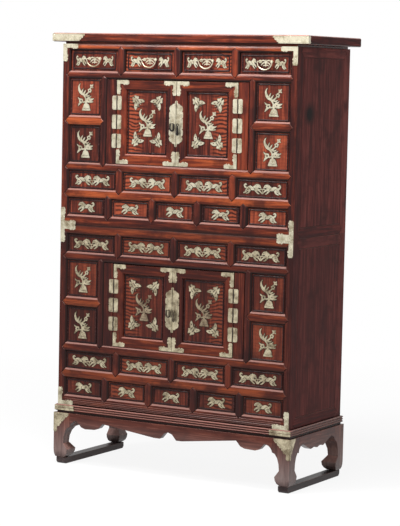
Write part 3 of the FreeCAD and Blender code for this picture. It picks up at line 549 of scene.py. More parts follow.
def soften(obj, width=edge_width, segments=2):
    """Takes the sharpness off an object's edges and shades its curves smooth."""
    obj.data.shade_smooth()
    obj.data.set_sharp_from_angle(angle=edge_angle)
    bevel = obj.modifiers.new("edges", "BEVEL")
    bevel.width = width
    bevel.segments = segments
    bevel.limit_method = "ANGLE"
    bevel.angle_limit = edge_angle
    bevel.harden_normals = True


def show(name, mesh):
    """An object for a mesh, put in the scene."""
    obj = bpy.data.objects.new(name, mesh)
    bpy.context.scene.collection.objects.link(obj)
    return obj


def dress(obj, node, replace=True):
    """Makes a piece move with its body and, when it replaces a node, hides that node's part."""
    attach(obj, body_of_node[node])
    if replace:
        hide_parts(node)


def inside_box(point, low, high):
    """Whether a point lies in a box."""
    return all(low[i] <= point[i] <= high[i] for i in range(3))


def crowned(mesh, parts, across, crown):
    """Gives the front members of a mesh a crown: the front falls back towards both edges."""
    work = bmesh.new()
    work.from_mesh(mesh)
    front = min(corner.co.y for corner in work.verts)
    index = "xyz".index(across)
    normal = [float(i == index) for i in range(3)]
    for points, faces in parts:
        low, high = box_of(points)
        middle, half = (low[index] + high[index]) / 2, (high[index] - low[index]) / 2
        low, high = low - box_margin, high + box_margin
        for share in crown_shares:
            place = [0.0, 0.0, 0.0]
            place[index] = middle + share * half
            inside = [
                face for face in work.faces
                if all(inside_box(corner.co, low, high) for corner in face.verts)
            ]
            near = inside + list({edge for face in inside for edge in face.edges})
            near += list({corner for face in inside for corner in face.verts})
            bmesh.ops.bisect_plane(work, geom=near, dist=1e-5, plane_co=place, plane_no=normal)
        for corner in work.verts:
            if corner.co.y < front + level_step and inside_box(corner.co, low, high):
                share = min(abs(corner.co[index] - middle) / half, 1.0)
                corner.co.y = front + crown * share * share
    work.to_mesh(mesh)
    work.free()


def boards(node, woods, width=edge_width, crowns=None, outside=None, deep=None):
    """The boards of a node, with soft edges. Crowns are an axis, a test for boxes and a height."""
    parts = solids(node)
    mesh = board_mesh("wood_" + node, parts, woods, outside=outside, deep=deep)
    obj = show("wood_" + node, mesh)
    if crowns:
        across, chosen, crown = crowns
        crowned(mesh, [part for part in parts if chosen(*box_of(part[0]))], across, crown)
    soften(obj, width)
    dress(obj, node)
    return obj


def is_rail(low, high):
    """A rail without reeds."""
    return high.z - low.z < plain_rail_height


def is_post(low, high):
    """An upright of the front, but not a strip beside the doors, which lies deeper."""
    return low.y < low_corner.y + post_depth


tiers = ("upper", "lower")
sides = ("right", "left")
for tier in tiers:
    boards(tier + "_corner_posts", case_woods, outside=side_woods["z"])
    boards(tier + "_front_rails", case_woods, crowns=("z", is_rail, rail_crown))
    boards(
        tier + "_front_struts", case_woods, crowns=("x", is_post, post_crown), deep=door_woods["z"]
    )
    for side in sides:
        boards("%s_%s_door_frame" % (tier, side), door_woods)
    boards(tier + "_sides", side_woods, 0.0018)
    boards(tier + "_back", inner_woods)
    boards(tier + "_boards", inner_woods)
boards("upper_drawer_bay", inner_woods)
boards("top_board", top_woods, outside=side_woods["y"])
boards("top_neck", {"x": door_woods["x"]})
for part in ("base_moulding", "base_legs", "base_aprons"):
    boards(part, stand_woods)
# The shadow frame is set back under the moulding, and its dark wood also paints the shade that
# falls there.
boards("base_shadow_frame", dark_woods)
boards("base_runners", dark_woods, 0.0015)

# %% [markdown]
# Behind the front frame sit the small panels, the part one looks at. Each is a thin board with
# fine figure and a rounded bead a little way in from its edge. The bead follows a path, so
# Geometry Nodes make it: a rectangle of edges becomes a curve, its corners are rounded, and a
# circle is swept along it. Half of that round rod is sunk in the board, and what stays outside is
# the bead.
#
# A modifier's inputs are set by the identifier of their socket, and the result is turned into a
# plain mesh before anything else uses it.

# %% Helpers for Geometry Nodes
def geometry_tree(name, inputs):
    """A node group with a geometry input, named inputs and a geometry output."""
    tree = bpy.data.node_groups.new(name, "GeometryNodeTree")
    face = tree.interface
    face.new_socket("Geometry", in_out="INPUT", socket_type="NodeSocketGeometry")
    for title, kind in inputs:
        face.new_socket(title, in_out="INPUT", socket_type="NodeSocket" + kind)
    face.new_socket("Geometry", in_out="OUTPUT", socket_type="NodeSocketGeometry")
    return tree, tree.nodes.new("NodeGroupInput"), tree.nodes.new("NodeGroupOutput")


def grown(name, seed, tree, values):
    """The plain mesh that a tree grows from a seed mesh with these input values."""
    obj = show(name + "_seed", seed)
    modifier = obj.modifiers.new("grow", "NODES")
    modifier.node_group = tree
    for item in tree.interface.items_tree:
        if item.in_out == "INPUT" and item.name in values:
            modifier[item.identifier] = values[item.name]
    graph = bpy.context.evaluated_depsgraph_get()
    mesh = bpy.data.meshes.new_from_object(obj.evaluated_get(graph), depsgraph=graph)
    mesh.name = name
    bpy.data.objects.remove(obj)
    return mesh


def finish_geometry(tree, inputs, output, shapes):
    """Ends a tree: copies become real, and all of it gets the material."""
    whole = add_node(tree, "GeometryNodeRealizeInstances", {"Geometry": shapes})
    painted = add_node(
        tree, "GeometryNodeSetMaterial",
        {"Geometry": whole.outputs[0], "Material": inputs.outputs["Material"]},
    )
    tree.links.new(painted.outputs[0], output.inputs["Geometry"])
    return tree


def bead_tree():
    """Sweeps a round rod along each loop of edges."""
    tree, inputs, output = geometry_tree(
        "bead", [("Radius", "Float"), ("Corner", "Float"), ("Material", "Material")]
    )
    path = add_node(tree, "GeometryNodeMeshToCurve", {"Mesh": inputs.outputs["Geometry"]})
    rounded = add_node(
        tree, "GeometryNodeFilletCurve",
        {"Curve": path.outputs[0], "Radius": inputs.outputs["Corner"], "Count": 4}, mode="POLY",
    )
    ring = add_node(
        tree, "GeometryNodeCurvePrimitiveCircle",
        {"Resolution": 12, "Radius": inputs.outputs["Radius"]},
    )
    rod = add_node(
        tree, "GeometryNodeCurveToMesh",
        {"Curve": rounded.outputs[0], "Profile Curve": ring.outputs[0]},
    )
    return finish_geometry(tree, inputs, output, rod.outputs[0])


beads = bead_tree()
print("bead tree has", len(beads.nodes), "nodes")

# %% [markdown]
# The frame says where each bead runs. The points that stand furthest forward on a panel are the
# corners of its bead, from the outside in, and the next level back is the panel's face. So the
# bead is measured, and the board behind it is a plain block up to that face.

# %% Beaded panels
panel_edge = 0.0004


def levels(values):
    """The different values in a list, in order, with near ones taken as one."""
    kept = []
    for value in sorted(values):
        if not kept or value - kept[-1] > level_step:
            kept.append(value)
    return kept


def bead_of(points):
    """Middle line of a panel's bead, as its corner points, and its radius."""
    depths = levels(p[1] for p in points)
    top = [p for p in points if p[1] < depths[0] + level_step]
    across, upward = levels(p[0] for p in top), levels(p[2] for p in top)
    radius = (across[1] - across[0]) / 2
    left, right = across[0] + radius, across[-1] - radius
    low, high = upward[0] + radius, upward[-1] - radius
    face = depths[1]
    return [(left, face, low), (right, face, low), (right, face, high), (left, face, high)], radius


def block(low, high):
    """The points and faces of a plain block between two corners."""
    points = [
        (x, y, z) for x in (low[0], high[0]) for y in (low[1], high[1]) for z in (low[2], high[2])
    ]
    return points, [
        (0, 1, 3, 2), (4, 6, 7, 5), (0, 4, 5, 1), (2, 3, 7, 6), (0, 2, 6, 4), (1, 5, 7, 3)
    ]


def beaded(name, node, parts, material):
    """Panels with round beads in place of solids of a node, all with beads of one radius."""
    loops, flat = [], []
    for points, faces in parts:
        path, radius = bead_of(points)
        loops.append(path)
        low, high = box_of(points)
        flat.append(block((low.x, path[0][1], low.z), high))
    panel = show(name, board_mesh(name, flat, {"x": material}))
    soften(panel, panel_edge)
    dress(panel, node)
    seed = bpy.data.meshes.new(name + "_seed")
    corners = [corner for loop in loops for corner in loop]
    edges = [(4 * i + k, 4 * i + (k + 1) % 4) for i in range(len(loops)) for k in range(4)]
    seed.from_pydata(corners, edges, [])
    mesh = grown(
        name + "_beads", seed, beads, {"Radius": radius, "Corner": radius, "Material": bead_wood}
    )
    mesh.shade_smooth()
    ring = show(name + "_beads", mesh)
    dress(ring, node, replace=False)


for tier in tiers:
    beaded(tier + "_panels", tier + "_front_panels", solids(tier + "_front_panels"), figured_wood)
    for side in sides:
        node = "%s_%s_door_panel" % (tier, side)
        beaded(node + "_field", node, solids(node), figured_wood)
drawer_nodes = ["drawer_%d" % number for number in range(1, 5)]
for node in drawer_nodes:
    front, *carcass = solids(node)
    beaded(node + "_front", node, [front], figured_wood)
    box = show(node + "_box", board_mesh(node + "_box", carcass, inner_woods, first_number=1))
    soften(box)
    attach(box, body_of_node[node])
print("beads on", sum(len(solids(tier + "_front_panels")) for tier in tiers), "fixed panels")

# %% [markdown]
# The mounts are cut from sheet brass: beasts, vases of blossom, butterflies, corner pieces and
# hinge leaves. The frame holds each as a plain plate of the right size and place, and here each
# gets its real outline. A shape is drawn flat, in millimetres, with u to the right, v up and w
# out of the wood. It is then scaled into the box of the plate that it stands for.
#
# Four kinds of drawing are enough. A plate is an outline given a thickness. A stroke is a line
# with a width at each point, for limbs, branches and tails. A blossom is a round plate with
# petals. A rod is a round bar, for bails, pulls and barrels. Overlapping strokes get slightly
# different heights, as if the sheet was chased from behind, so no two faces lie in the same
# plane. Round each figure lies a dark rim: partly old polish gathered over the years, and partly
# painted shadow where the figure meets the wood. It is a lower copy of each shape, a little
# larger all round.

# %% Draw on a flat plate
mm = 0.001
line_metal = 1
# Slot and height of the dark rim round the figures: partly old polish, partly painted shadow.
grime_and_shadow_slot = 2
grime_and_shadow_height = 0.25


def smooth_line(points, steps=4):
    """A curve through some points, each a row of numbers, with steps between two of them."""
    line = []
    ends = [points[0]] + list(points) + [points[-1]]
    for before, start, end, after in zip(ends, ends[1:], ends[2:], ends[3:]):
        for k in range(steps):
            t = k / steps
            line.append(tuple(
                0.5 * (2 * b + (c - a) * t + (2 * a - 5 * b + 4 * c - d) * t * t
                       + (3 * b - a - 3 * c + d) * t ** 3)
                for a, b, c, d in zip(before, start, end, after)
            ))
    return line + [tuple(points[-1])]


def arc(u, v, radius, start, end, steps=6):
    """Points on a round arc, with its angles in degrees."""
    turns = [math.radians(start + (end - start) * k / steps) for k in range(steps + 1)]
    return [(u + radius * math.cos(a), v + radius * math.sin(a)) for a in turns]


def lobed(corners, steps=5):
    """An outline whose sides bulge. Each corner is (u, v, bulge of the side that follows)."""
    line = []
    for (u, v, bulge), (next_u, next_v, _) in zip(corners, corners[1:] + corners[:1]):
        count = steps if bulge else 1
        for k in range(count):
            t = k / count
            lift = 4 * bulge * t * (1 - t)
            line.append((
                u + (next_u - u) * t + (next_v - v) * lift,
                v + (next_v - v) * t - (next_u - u) * lift,
            ))
    return line


def heading(points, i, closed=False):
    """The direction of a line at one of its points."""
    last = len(points) - 1
    before = points[i - 1] if closed or i else points[0]
    after = points[(i + 1) % len(points)] if closed or i < last else points[last]
    du, dv = after[0] - before[0], after[1] - before[1]
    length = math.hypot(du, dv) or 1.0
    return du / length, dv / length


class Sheet:
    """Collects plates, strokes and blossoms of one piece of metalwork into one mesh."""

    def __init__(self):
        self.work = bmesh.new()
        self.place = Matrix.Identity(4)
        # How far the dark rim of grime and painted shadow reaches round a shape; zero draws none.
        self.grime = 0.0

    def at(self, x, y, z, wide=1.0, high=1.0, turn=0.0, facing=(0, -1, 0)):
        """Draws from here on at a point, scaled and turned, on wood that faces that way."""
        out = Vector(facing)
        across = Vector((0, 0, 1)).cross(out)
        spin = Matrix.Rotation(turn, 4, "Z")
        scale = Matrix.Diagonal((mm * wide, mm * high, mm, 1.0))
        stand = Matrix((across, Vector((0, 0, 1)), out)).transposed().to_4x4()
        self.place = Matrix.Translation((x, y, z)) @ stand @ spin @ scale
        return self

    def plate(self, outline, low, high, slot=0):
        """A flat plate between two heights over the wood."""
        rings = [
            [self.work.verts.new(self.place @ Vector((u, v, w))) for u, v in outline]
            for w in (low, high)
        ]
        count = len(outline)
        self.work.faces.new(rings[1]).material_index = slot
        self.work.faces.new(rings[0][::-1]).material_index = slot
        for i in range(count):
            j = (i + 1) % count
            side = [rings[0][i], rings[0][j], rings[1][j], rings[1][i]]
            self.work.faces.new(side).material_index = slot

    def compact(self, outline, low, high):
        """A plate without deep hollows in its outline, so that its dark rim, partly grime and
        partly painted shadow, can be a larger copy.
        """
        # A larger, lower dark copy: grime and painted shadow round the plate.
        if self.grime:
            middle = sum((Vector(point) for point in outline), Vector((0, 0))) / len(outline)
            spread = [
                Vector(point) + (Vector(point) - middle).normalized() * self.grime
                for point in outline
            ]
            self.plate(spread, 0, grime_and_shadow_height, grime_and_shadow_slot)
        self.plate(outline, low, high)

    def stroke(self, points, height, low=0.0, steps=4, slot=0):
        """A line of (u, v, half width) points as a plate with pointed or round ends."""
        # A wider, lower dark copy under the stroke: grime and painted shadow round it.
        if self.grime and slot == 0:
            wider = [(u, v, half + self.grime) for u, v, half in points]
            self.stroke(wider, grime_and_shadow_height, steps=steps, slot=grime_and_shadow_slot)
        line = smooth_line(points, steps)
        left, right = [], []
        for i, (u, v, half) in enumerate(line):
            du, dv = heading(line, i)
            left.append((u - dv * half, v + du * half))
            right.append((u + dv * half, v - du * half))
            if i == len(line) - 1:
                left.append((u + du * half, v + dv * half))
            if i == 0:
                right.insert(0, (u - du * half, v - dv * half))
        self.plate(right + left[::-1], low, height, slot)

    def blossom(self, u, v, radius, height, petals=5, depth=0.2, low=0.0, turn=0.0, slot=0):
        """A flower seen from the front, or a round disc if it has no depth."""
        # A wider, lower dark copy under the blossom: grime and painted shadow round it.
        if self.grime and slot == 0:
            wider = radius + self.grime
            self.blossom(u, v, wider, grime_and_shadow_height, petals, depth, turn=turn, slot=grime_and_shadow_slot)
        count = max(12, petals * 5)
        line = []
        for k in range(count):
            a = 2 * math.pi * k / count
            reach = radius * (1 - depth * abs(math.sin(petals * (a + turn) / 2)) ** 0.7)
            line.append((u + reach * math.cos(a), v + reach * math.sin(a)))
        self.plate(line, low, height, slot)

    def rod(self, points, closed=False, sides=8, slot=0):
        """A round bar along (u, v, w, radius) points that lie in a plane of one w."""
        rings = []
        for i, (u, v, w, radius) in enumerate(points):
            du, dv = heading(points, i, closed)
            ring = []
            for k in range(sides):
                a = 2 * math.pi * k / sides
                aside, out = radius * math.cos(a), radius * math.sin(a)
                spot = Vector((u - dv * aside, v + du * aside, w + out))
                ring.append(self.work.verts.new(self.place @ spot))
            rings.append(ring)
        pairs = list(zip(rings, rings[1:])) + ([(rings[-1], rings[0])] if closed else [])
        for first, second in pairs:
            for k in range(sides):
                j = (k + 1) % sides
                face = self.work.faces.new([first[k], first[j], second[j], second[k]])
                face.material_index = slot
        if not closed:
            self.work.faces.new(rings[0][::-1]).material_index = slot
            self.work.faces.new(rings[-1]).material_index = slot

    def mesh(self, name, materials):
        """The finished mesh, with its faces pointing outwards."""
        bmesh.ops.recalc_face_normals(self.work, faces=self.work.faces)
        made = bpy.data.meshes.new(name)
        self.work.to_mesh(made)
        self.work.free()
        for material in materials:
            made.materials.append(material)
        return made


metal_edge = 0.00018


def metal_piece(sheet, name, node, metal=brass, replace=True):
    """An object from a sheet, with fine edges, in place of a node's plates."""
    # The third material is the dark rim of grime and painted shadow round the figures.
    obj = show(name, sheet.mesh(name, (metal, patina_and_shade, polish_and_shadow)))
    soften(obj, metal_edge, segments=1)
    dress(obj, node, replace)
    return obj


test = Sheet().at(0, 0, 0)
test.stroke([(0, 0, 2), (10, 5, 1)], 1.2)
print("a short stroke has", len(test.work.faces), "faces")
test.work.free()

# %% [markdown]
# Now the figures. The beast runs to the right, with its mane and tail in curls. The vase holds
# two flowers with their leaves and, above them, a branch bent like a horn. The butterfly has
# spread wings and a raised body. Bodies stand a little higher than limbs, and dark lines mark the
# chased hollows.

# %% Beast, vase and butterfly
beast_size = (66.0, 34.0)
vase_size = (68.0, 92.0)
sheet_height = 1.2


def strokes(sheet, lines):
    """Several strokes, each with its height over the sheet's own."""
    for rise, line in lines:
        sheet.stroke(line, sheet_height + rise)


def hollows(sheet, lines, rise=0.2):
    """Dark chased lines."""
    for line in lines:
        sheet.stroke(line, sheet_height + rise, low=0.4, slot=line_metal)


def draw_beast(sheet):
    """A running beast, 66 by 34, that faces right."""
    strokes(sheet, (
        (0.0, [(-19, -1, 6), (-9, 3, 7), (2, 1, 5.6), (12, 4, 7), (18, 7, 5.5)]),
        (0.25, [(13, 6, 6), (20, 10, 6.2), (26.5, 9, 4.6), (31.5, 5, 1.8)]),
        (0.12, [(20, 13, 2.2), (17, 17, 0.8)]),
        (-0.1, [(15, 1, 4.2), (23, -3, 3.3), (29, -7, 2.3), (32.5, -11, 1.9)]),
        (-0.2, [(10, -1, 4.4), (15, -8, 3.1), (20, -13, 2.2), (25, -15.6, 1.7)]),
        (-0.15, [(-16, -1, 5.6), (-22, -5, 4.2), (-26, -11, 2.8), (-32, -14, 1.9)]),
        (-0.25, [(-11, -3, 5), (-13, -10, 3.4), (-18, -14, 2.3), (-23, -15.8, 1.6)]),
        (0.08, [(-19, 1, 2.6), (-26, 5, 3.2), (-29, 11, 3.4), (-25, 15, 2.4), (-21, 12, 1)]),
    ))
    for u, v, radius in ((12, 10.5, 4.0), (7, 7.5, 3.4), (16, 14, 3.0), (13, 3, 3.2)):
        sheet.blossom(u, v, radius, sheet_height + 0.32, petals=3, depth=0.12)
    sheet.blossom(26, 10, 1.1, sheet_height + 0.5, depth=0, slot=line_metal)
    hollows(sheet, (
        [(-16, 4, 0.5), (-8, -1, 1.0), (-5, -6, 0.4)],
        [(4, 5, 0.4), (9, 0, 1.1), (8, -5, 0.4)],
        [(19, 4, 0.4), (24, 3, 0.8), (29, 4, 0.3)],
        [(-27, 8, 0.4), (-25, 11.5, 0.8), (-22.5, 10.5, 0.4)],
        [(-24, -8, 0.4), (-19, -3, 1.0), (-14, -3, 0.4)],
    ))


def draw_vase(sheet):
    """A pot with flowers below and a horned branch with a star above, 68 by 92."""
    top = sheet_height
    pot = [
        (-5, -22, 0), (-12, -38, 0.1), (-14, -43, 0), (-14, -46, 0), (20, -46, 0), (20, -43, 0),
        (17, -38, 0.1), (10, -22, 0),
    ]
    sheet.compact(lobed(pot), 0, top + 0.3)
    band = [(-10, -38, 0.5), (3, -40, 0.6), (15, -38, 0.5)]
    sheet.stroke(band, top + 0.5, low=0.5, slot=line_metal)
    sheet.stroke([(2, -23, 4.0), (1, -14, 3.2), (0, -5, 2.6), (-5, 3, 2.8), (-10, 9, 3.2)], top)
    horn = [(-6, 7, 2.6), (-16, 12, 4.4), (-24, 20, 4.8), (-28, 30, 3.6), (-28, 38, 2.4)]
    sheet.stroke(horn + [(-23, 46, 0.6)], top + 0.05)
    for number, twig in enumerate((
        [(-17, 15, 2.6), (-14, 22, 2.4), (-10, 30, 0.7)],
        [(-10, 10, 3.0), (-5, 17, 2.6), (0, 24, 0.7)],
        [(-7, 6, 3.0), (2, 9, 2.8), (9, 15, 2.4), (14, 20, 2.0)],
        [(0, 5, 2.2), (9, 4, 2.4), (16, 8, 0.7)],
        [(2, -10, 2.4), (10, -3, 3.2), (15, -1, 2.6), (22, 4, 0.8)],
        [(3, -12, 3.0), (14, -9, 5.2), (23, -8, 4.0), (33, -4, 0.8)],
        [(4, -14, 3.0), (14, -15, 3.8), (22, -16, 2.8), (31, -15, 0.8)],
        [(0, -15, 2.2), (-9, -17, 2.6), (-15, -14, 2.4)],
        [(-18, -17, 3.6), (-25, -23, 3.4), (-31, -31, 0.8)],
        [(-20, -10, 2.6), (-27, -6, 2.4), (-32, -1, 0.7)],
    )):
        sheet.stroke(twig, top - 0.06 - 0.03 * number)
    sheet.blossom(-18, -13, 10.0, top + 0.2, turn=0.4, depth=0.26)
    sheet.blossom(16, 23, 8.6, top + 0.2, turn=1.0, depth=0.24)
    sheet.blossom(24, 37, 11.0, top + 0.1, petals=4, depth=0.58, turn=0.7)
    for u, v, radius in ((-18, -13, 3.0), (16, 23, 2.8), (24, 37, 1.3), (13, -10, 1.8)):
        sheet.blossom(u, v, radius, top + 0.5, depth=0, slot=line_metal)


def draw_butterfly(sheet):
    """A butterfly with open wings, 42 across, head up."""
    top = sheet_height
    upper_wing = [
        (0, -1, 0), (1, 6, -0.05), (9, 14, -0.05), (23, 21, -0.1), (20, 8, -0.1), (10, 0, -0.1)
    ]
    lower_wing = [
        (0, 0, 0), (8, -2, -0.1), (15, -7, -0.1), (10, -12, -0.05), (5, -22, -0.1), (1, -9, 0)
    ]
    for side in (1, -1):
        for wing, height in ((upper_wing, top), (lower_wing, top - 0.15)):
            sheet.compact([(side * u, v) for u, v in lobed(wing)], 0, height)
        fold = [(side * 5.2, 7, 0.8), (side * 4.4, 1, 1.5), (side * 4.2, -7, 0.8)]
        hollows(sheet, [fold], rise=0.15)
        sheet.blossom(side * 14, 12, 2.0, top + 0.2, depth=0, slot=line_metal)
        sheet.stroke([(side * 0.8, 8, 0.6), (side * 4, 16, 0.5), (side * 6, 19, 0.6)], top - 0.3)
    sheet.stroke([(0, -12, 0.8), (0, -4, 2.5), (0, 3, 2.6), (0, 10, 1.6)], top + 1.1)


def draw_flower(sheet):
    """The flower under a pair of beasts, with the scroll that joins them."""
    top = sheet_height
    scroll = [(-13, -3, 1.0), (-5, 1, 1.5), (0, -2, 1.6), (5, 1, 1.5), (13, -3, 1.0)]
    sheet.stroke(scroll, top - 0.3)
    sheet.stroke([(0, -2, 1.3), (0, -9, 1.2)], top - 0.35)
    sheet.blossom(0, -12, 5.6, top, petals=3, depth=0.3, turn=-1.571)
    sheet.blossom(0, -12, 1.4, top + 0.3, depth=0, slot=line_metal)


print("beasts are drawn %g by %g and vases %g by %g" % (*beast_size, *vase_size))

# %% [markdown]
# With the figures drawn, they go on. A node holds its plates in some order, and the scene doesn't
# count on it: it goes by the size of a plate's box. A beast is wide and low, and a vase is tall.
# The figure is scaled so that it fills its box. Two beasts on a long panel look at each other
# over a flower, and a single one looks left. The brass of the lower tier is duller and darker,
# partly its own tarnish and partly painted shade for the light that falls off lower down.
#
# A bail or a pull hangs in an eye, a ring of wire whose two ends go through the brass and the
# wood and are bent over behind. The eyes are made here too, because they stay on the wood.

# %% Figures on the panels
# The lower tier's darker metals are partly their own tarnish and partly painted shade for less
# light lower down.
tier_metals = {"upper": brass, "lower": dull_shaded_brass}
vase_metals = {"upper": brass, "lower": bronze}
wire = 0.7
# How far the dark rim of grime and painted shadow reaches round a figure, in millimetres.
grime_and_shadow_reach = 1.7
eye_radius = 2.3
eye_standoff = 8.0
tall_ratio = 1.15


def middle_of(low, high):
    """The middle of a box."""
    return (low + high) / 2


def measures(low, high):
    """The width and the height of a plate's box, in millimetres, and its middle."""
    return (high.x - low.x) / mm, (high.z - low.z) / mm, middle_of(low, high)


def place_figure(sheet, low, high, draw, drawn_size, flip=1):
    """Draws a figure in the box of its plate, with a dark rim round it: partly old polish, partly
    painted shadow.
    """
    wide, tall, centre = measures(low, high)
    sheet.grime = grime_and_shadow_reach
    draw(sheet.at(
        centre.x, high.y, centre.z, wide=flip * wide / drawn_size[0], high=tall / drawn_size[1]
    ))
    sheet.grime = 0.0


def is_tall(low, high):
    """Whether a plate's box is clearly taller than it is wide."""
    return high.z - low.z > (high.x - low.x) * tall_ratio


def eye(sheet, x, face_y, z):
    """A ring of wire that stands out from a face, with its shank."""
    sheet.at(x, face_y - eye_standoff * mm, z, facing=(1, 0, 0))
    ring = [(u, v, 0, wire) for u, v in arc(0, 0, eye_radius, 0, 360, 12)[:-1]]
    sheet.rod(ring, closed=True, sides=6)
    sheet.rod([(eye_radius, 0, 0, wire * 1.4), (eye_standoff, 0, 0, wire * 1.4)], sides=6)


def panel_figures(tier):
    """Vases, pairs of beasts and single beasts on the fixed panels of a tier."""
    node = tier + "_panel_mounts"
    sheet = Sheet()
    rows, vases = {}, 0
    for low, high in boxes(node):
        if is_tall(low, high):
            place_figure(sheet, low, high, draw_vase, vase_size)
            vases += 1
        else:
            rows.setdefault(round(low.z, 3), []).append((low, high))
    for level, row in rows.items():
        row.sort(key=lambda plate: plate[0].x)
        paired = len(row) % 2 == 0
        for number, (low, high) in enumerate(row):
            flip = 1 if paired and number % 2 == 0 else -1
            place_figure(sheet, low, high, draw_beast, beast_size, flip)
        for first, second in zip(row[::2], row[1::2]) if paired else ():
            between = (first[1].x + second[0].x) / 2
            draw_flower(sheet.at(between, first[1].y, middle_of(*first).z))
    metal_piece(sheet, tier + "_figures", node, tier_metals[tier])
    return vases, sum(len(row) for row in rows.values())


for tier in tiers:
    print(tier, "tier has %d vases and %d beasts" % panel_figures(tier))

# %% [markdown]
# Small brass nails hold the mounts, and their heads are part of the look. They are one shape
# repeated some hundreds of times, so the script only notes where each one goes and which way it
# faces. Geometry Nodes then set a flattened ball on each point and turn it to its face.

# %% Places for nails
nail_places = {}


def nails_on(sheet, node, places, rise=1.2):
    """Notes nails at (u, v) places of the plate that is being drawn."""
    facing = (sheet.place.to_3x3() @ Vector((0, 0, 1))).normalized()
    for u, v in places:
        spot = sheet.place @ Vector((u, v, rise))
        nail_places.setdefault(body_of_node[node], []).append((spot, facing))


def mirrored_places(places):
    """The same places again with u and v swapped."""
    return places + [(v, u) for u, v in places if u != v]


print("nails go on after the mounts")

# %% [markdown]
# A door carries the most brass: a vase in the middle of its panel, a butterfly in each corner, an
# angle bracket over each mitre of the frame, half of the lock plate on its free edge and a leaf
# of each hinge on the other. Brackets and corner mounts share one outline, an angle whose ends
# open into three lobes. The lock plate has a half round rib down the line where the doors meet,
# and nicks in its sides.
#
# A hinge is two leaves with rolled barrels around a pin. The barrels are round here, the frame's
# have six sides, and they are nearly black: painted shade of the gap between the leaves. The pin's
# ends show as small knobs.

# %% Door mounts and hinges
plate_rise = 1.2
lock_from = 120.0
vase_from = 80.0
bracket_from = 46.0
leaf_share = 0.85
pin_gap = 2.2
pin_reach = 0.0115
end_knuckles = ((0, 1 / 3), (2 / 3, 1))
middle_knuckle = ((1 / 3, 2 / 3),)
bracket_nails = [(-4, -4), (-4, -20), (-6, -33), (-13, -40), (-4, -43)]
lock_nails = [(0.72, 0.1), (0.6, 0.34), (0.3, 0.39), (0.84, 0.24), (0.72, 0.17)]


def angle_outline(arm, arm_width, leg, leg_width):
    """An angle for an upper right corner, its corner at (0, 0), its ends in three lobes."""
    def end(reach, width):
        """The lobes of one end, from its outer edge inwards, as (across, along, bulge)."""
        return [
            (0, 7 - reach, -0.3), (-0.42 * width, 2 - reach, -0.36),
            (-0.86 * width, 7 - reach, -0.4), (-0.72 * width, 15 - reach, -0.42),
            (-0.78 * width, 26 - reach, 0),
        ]

    below = end(leg, leg_width)
    aside = end(arm, arm_width)[::-1]
    bulges = [bulge for u, v, bulge in aside[1:]] + [0]
    aside = [(v, u, bulge) for (u, v, old), bulge in zip(aside, bulges)]
    return lobed([(0, 0, 0)] + below + [(-0.78 * leg_width, -0.78 * arm_width, 0)] + aside)


def lock_outline(width, height):
    """Half a lock plate, to the right of the line where the doors meet."""
    w, h = width, height / 2
    upper = lobed([
        (w, 0, 0), (w, 0.2 * h, 0), (0.86 * w, 0.23 * h, 0), (w, 0.27 * h, 0.04), (w, 0.5 * h, 0),
        (0.84 * w, 0.54 * h, 0), (0.98 * w, 0.6 * h, 0.24), (0.58 * w, 0.8 * h, 0.2),
        (0.26 * w, 0.86 * h, -0.2), (0.16 * w, 0.94 * h, 0.15), (0, h, 0), (0, 0, 0),
    ])
    upper = [(u, v) for u, v in upper if v > 0.001 or u > 0.5 * w]
    return upper + [(u, -v) for u, v in reversed(upper) if v > 0.001]


def draw_lock(sheet, width, height):
    """Half a lock plate with its rib, knobs and an engraved line."""
    sheet.plate(lock_outline(width, height), 0, plate_rise)
    low, high = -0.45 * height, 0.45 * height
    rib = [(low, 0.8), (low + 5, 1.3), (0, 1.3), (high - 5, 1.3), (high, 0.8)]
    sheet.stroke([(1.4, v, half) for v, half in rib], 2.5, low=0.5)
    inset = [(0.74, -0.22), (0.8, 0), (0.74, 0.22)]
    sheet.stroke(
        [(u * width, v * height, 0.3) for u, v in inset], plate_rise + 0.15, low=0.4,
        slot=line_metal,
    )
    for level in (-0.28, 0.28):
        sheet.blossom(0.45 * width, level * height, 3.4, plate_rise + 0.5, depth=0.16)
    sheet.blossom(0.42 * width, 0.06 * height, 4.6, plate_rise + 0.4, depth=0)


def draw_leaf(sheet, width, height, pin_rise, knuckles):
    """A hinge leaf to the right of its pin, with the barrels that belong to it."""
    w, h = width, height / 2
    corners = [
        (2.9, -h, 0), (w - 6, -h, 0.22), (w, 6 - h, 0), (w, -2, 0), (w - 1.4, 0, 0), (w, 2, 0),
        (w, h - 6, 0.22), (w - 6, h, 0), (2.9, h, 0),
    ]
    sheet.plate(lobed(corners), 0, plate_rise)
    for start, end in knuckles:
        v0, v1 = height * start + 0.3 - h, height * end - 0.3 - h
        # The barrel takes the dark patina colour as painted shade of the gap between the leaves.
        sheet.rod([(0, v0, pin_rise, 2.2), (0, v1, pin_rise, 2.2)], sides=12, slot=line_metal)
        tab = [(0, v0), (3.4, v0), (3.4, v1), (0, v1)]
        sheet.plate(tab, 0.1, plate_rise - 0.1)
        if start == 0:
            sheet.rod([(0, v0 - 0.9, pin_rise, 1.1), (0, v0 + 1, pin_rise, 1.5)])
        if end == 1:
            sheet.rod([(0, v1 - 1, pin_rise, 1.5), (0, v1 + 0.9, pin_rise, 1.1)])


def hinge_pins(tier):
    """How far the hinge pins are from the chest's middle, and their axis from the doors."""
    frame_low = min(low.x for low, high in boxes(tier + "_hinge_frame_leaves") if low.x > 0)
    door_leaves = [plate for plate in boxes(tier + "_right_door_mounts") if plate[1].x > frame_low]
    low, high = door_leaves[0]
    return (frame_low + high.x) / 2, (high.y - low.y) / mm / 2


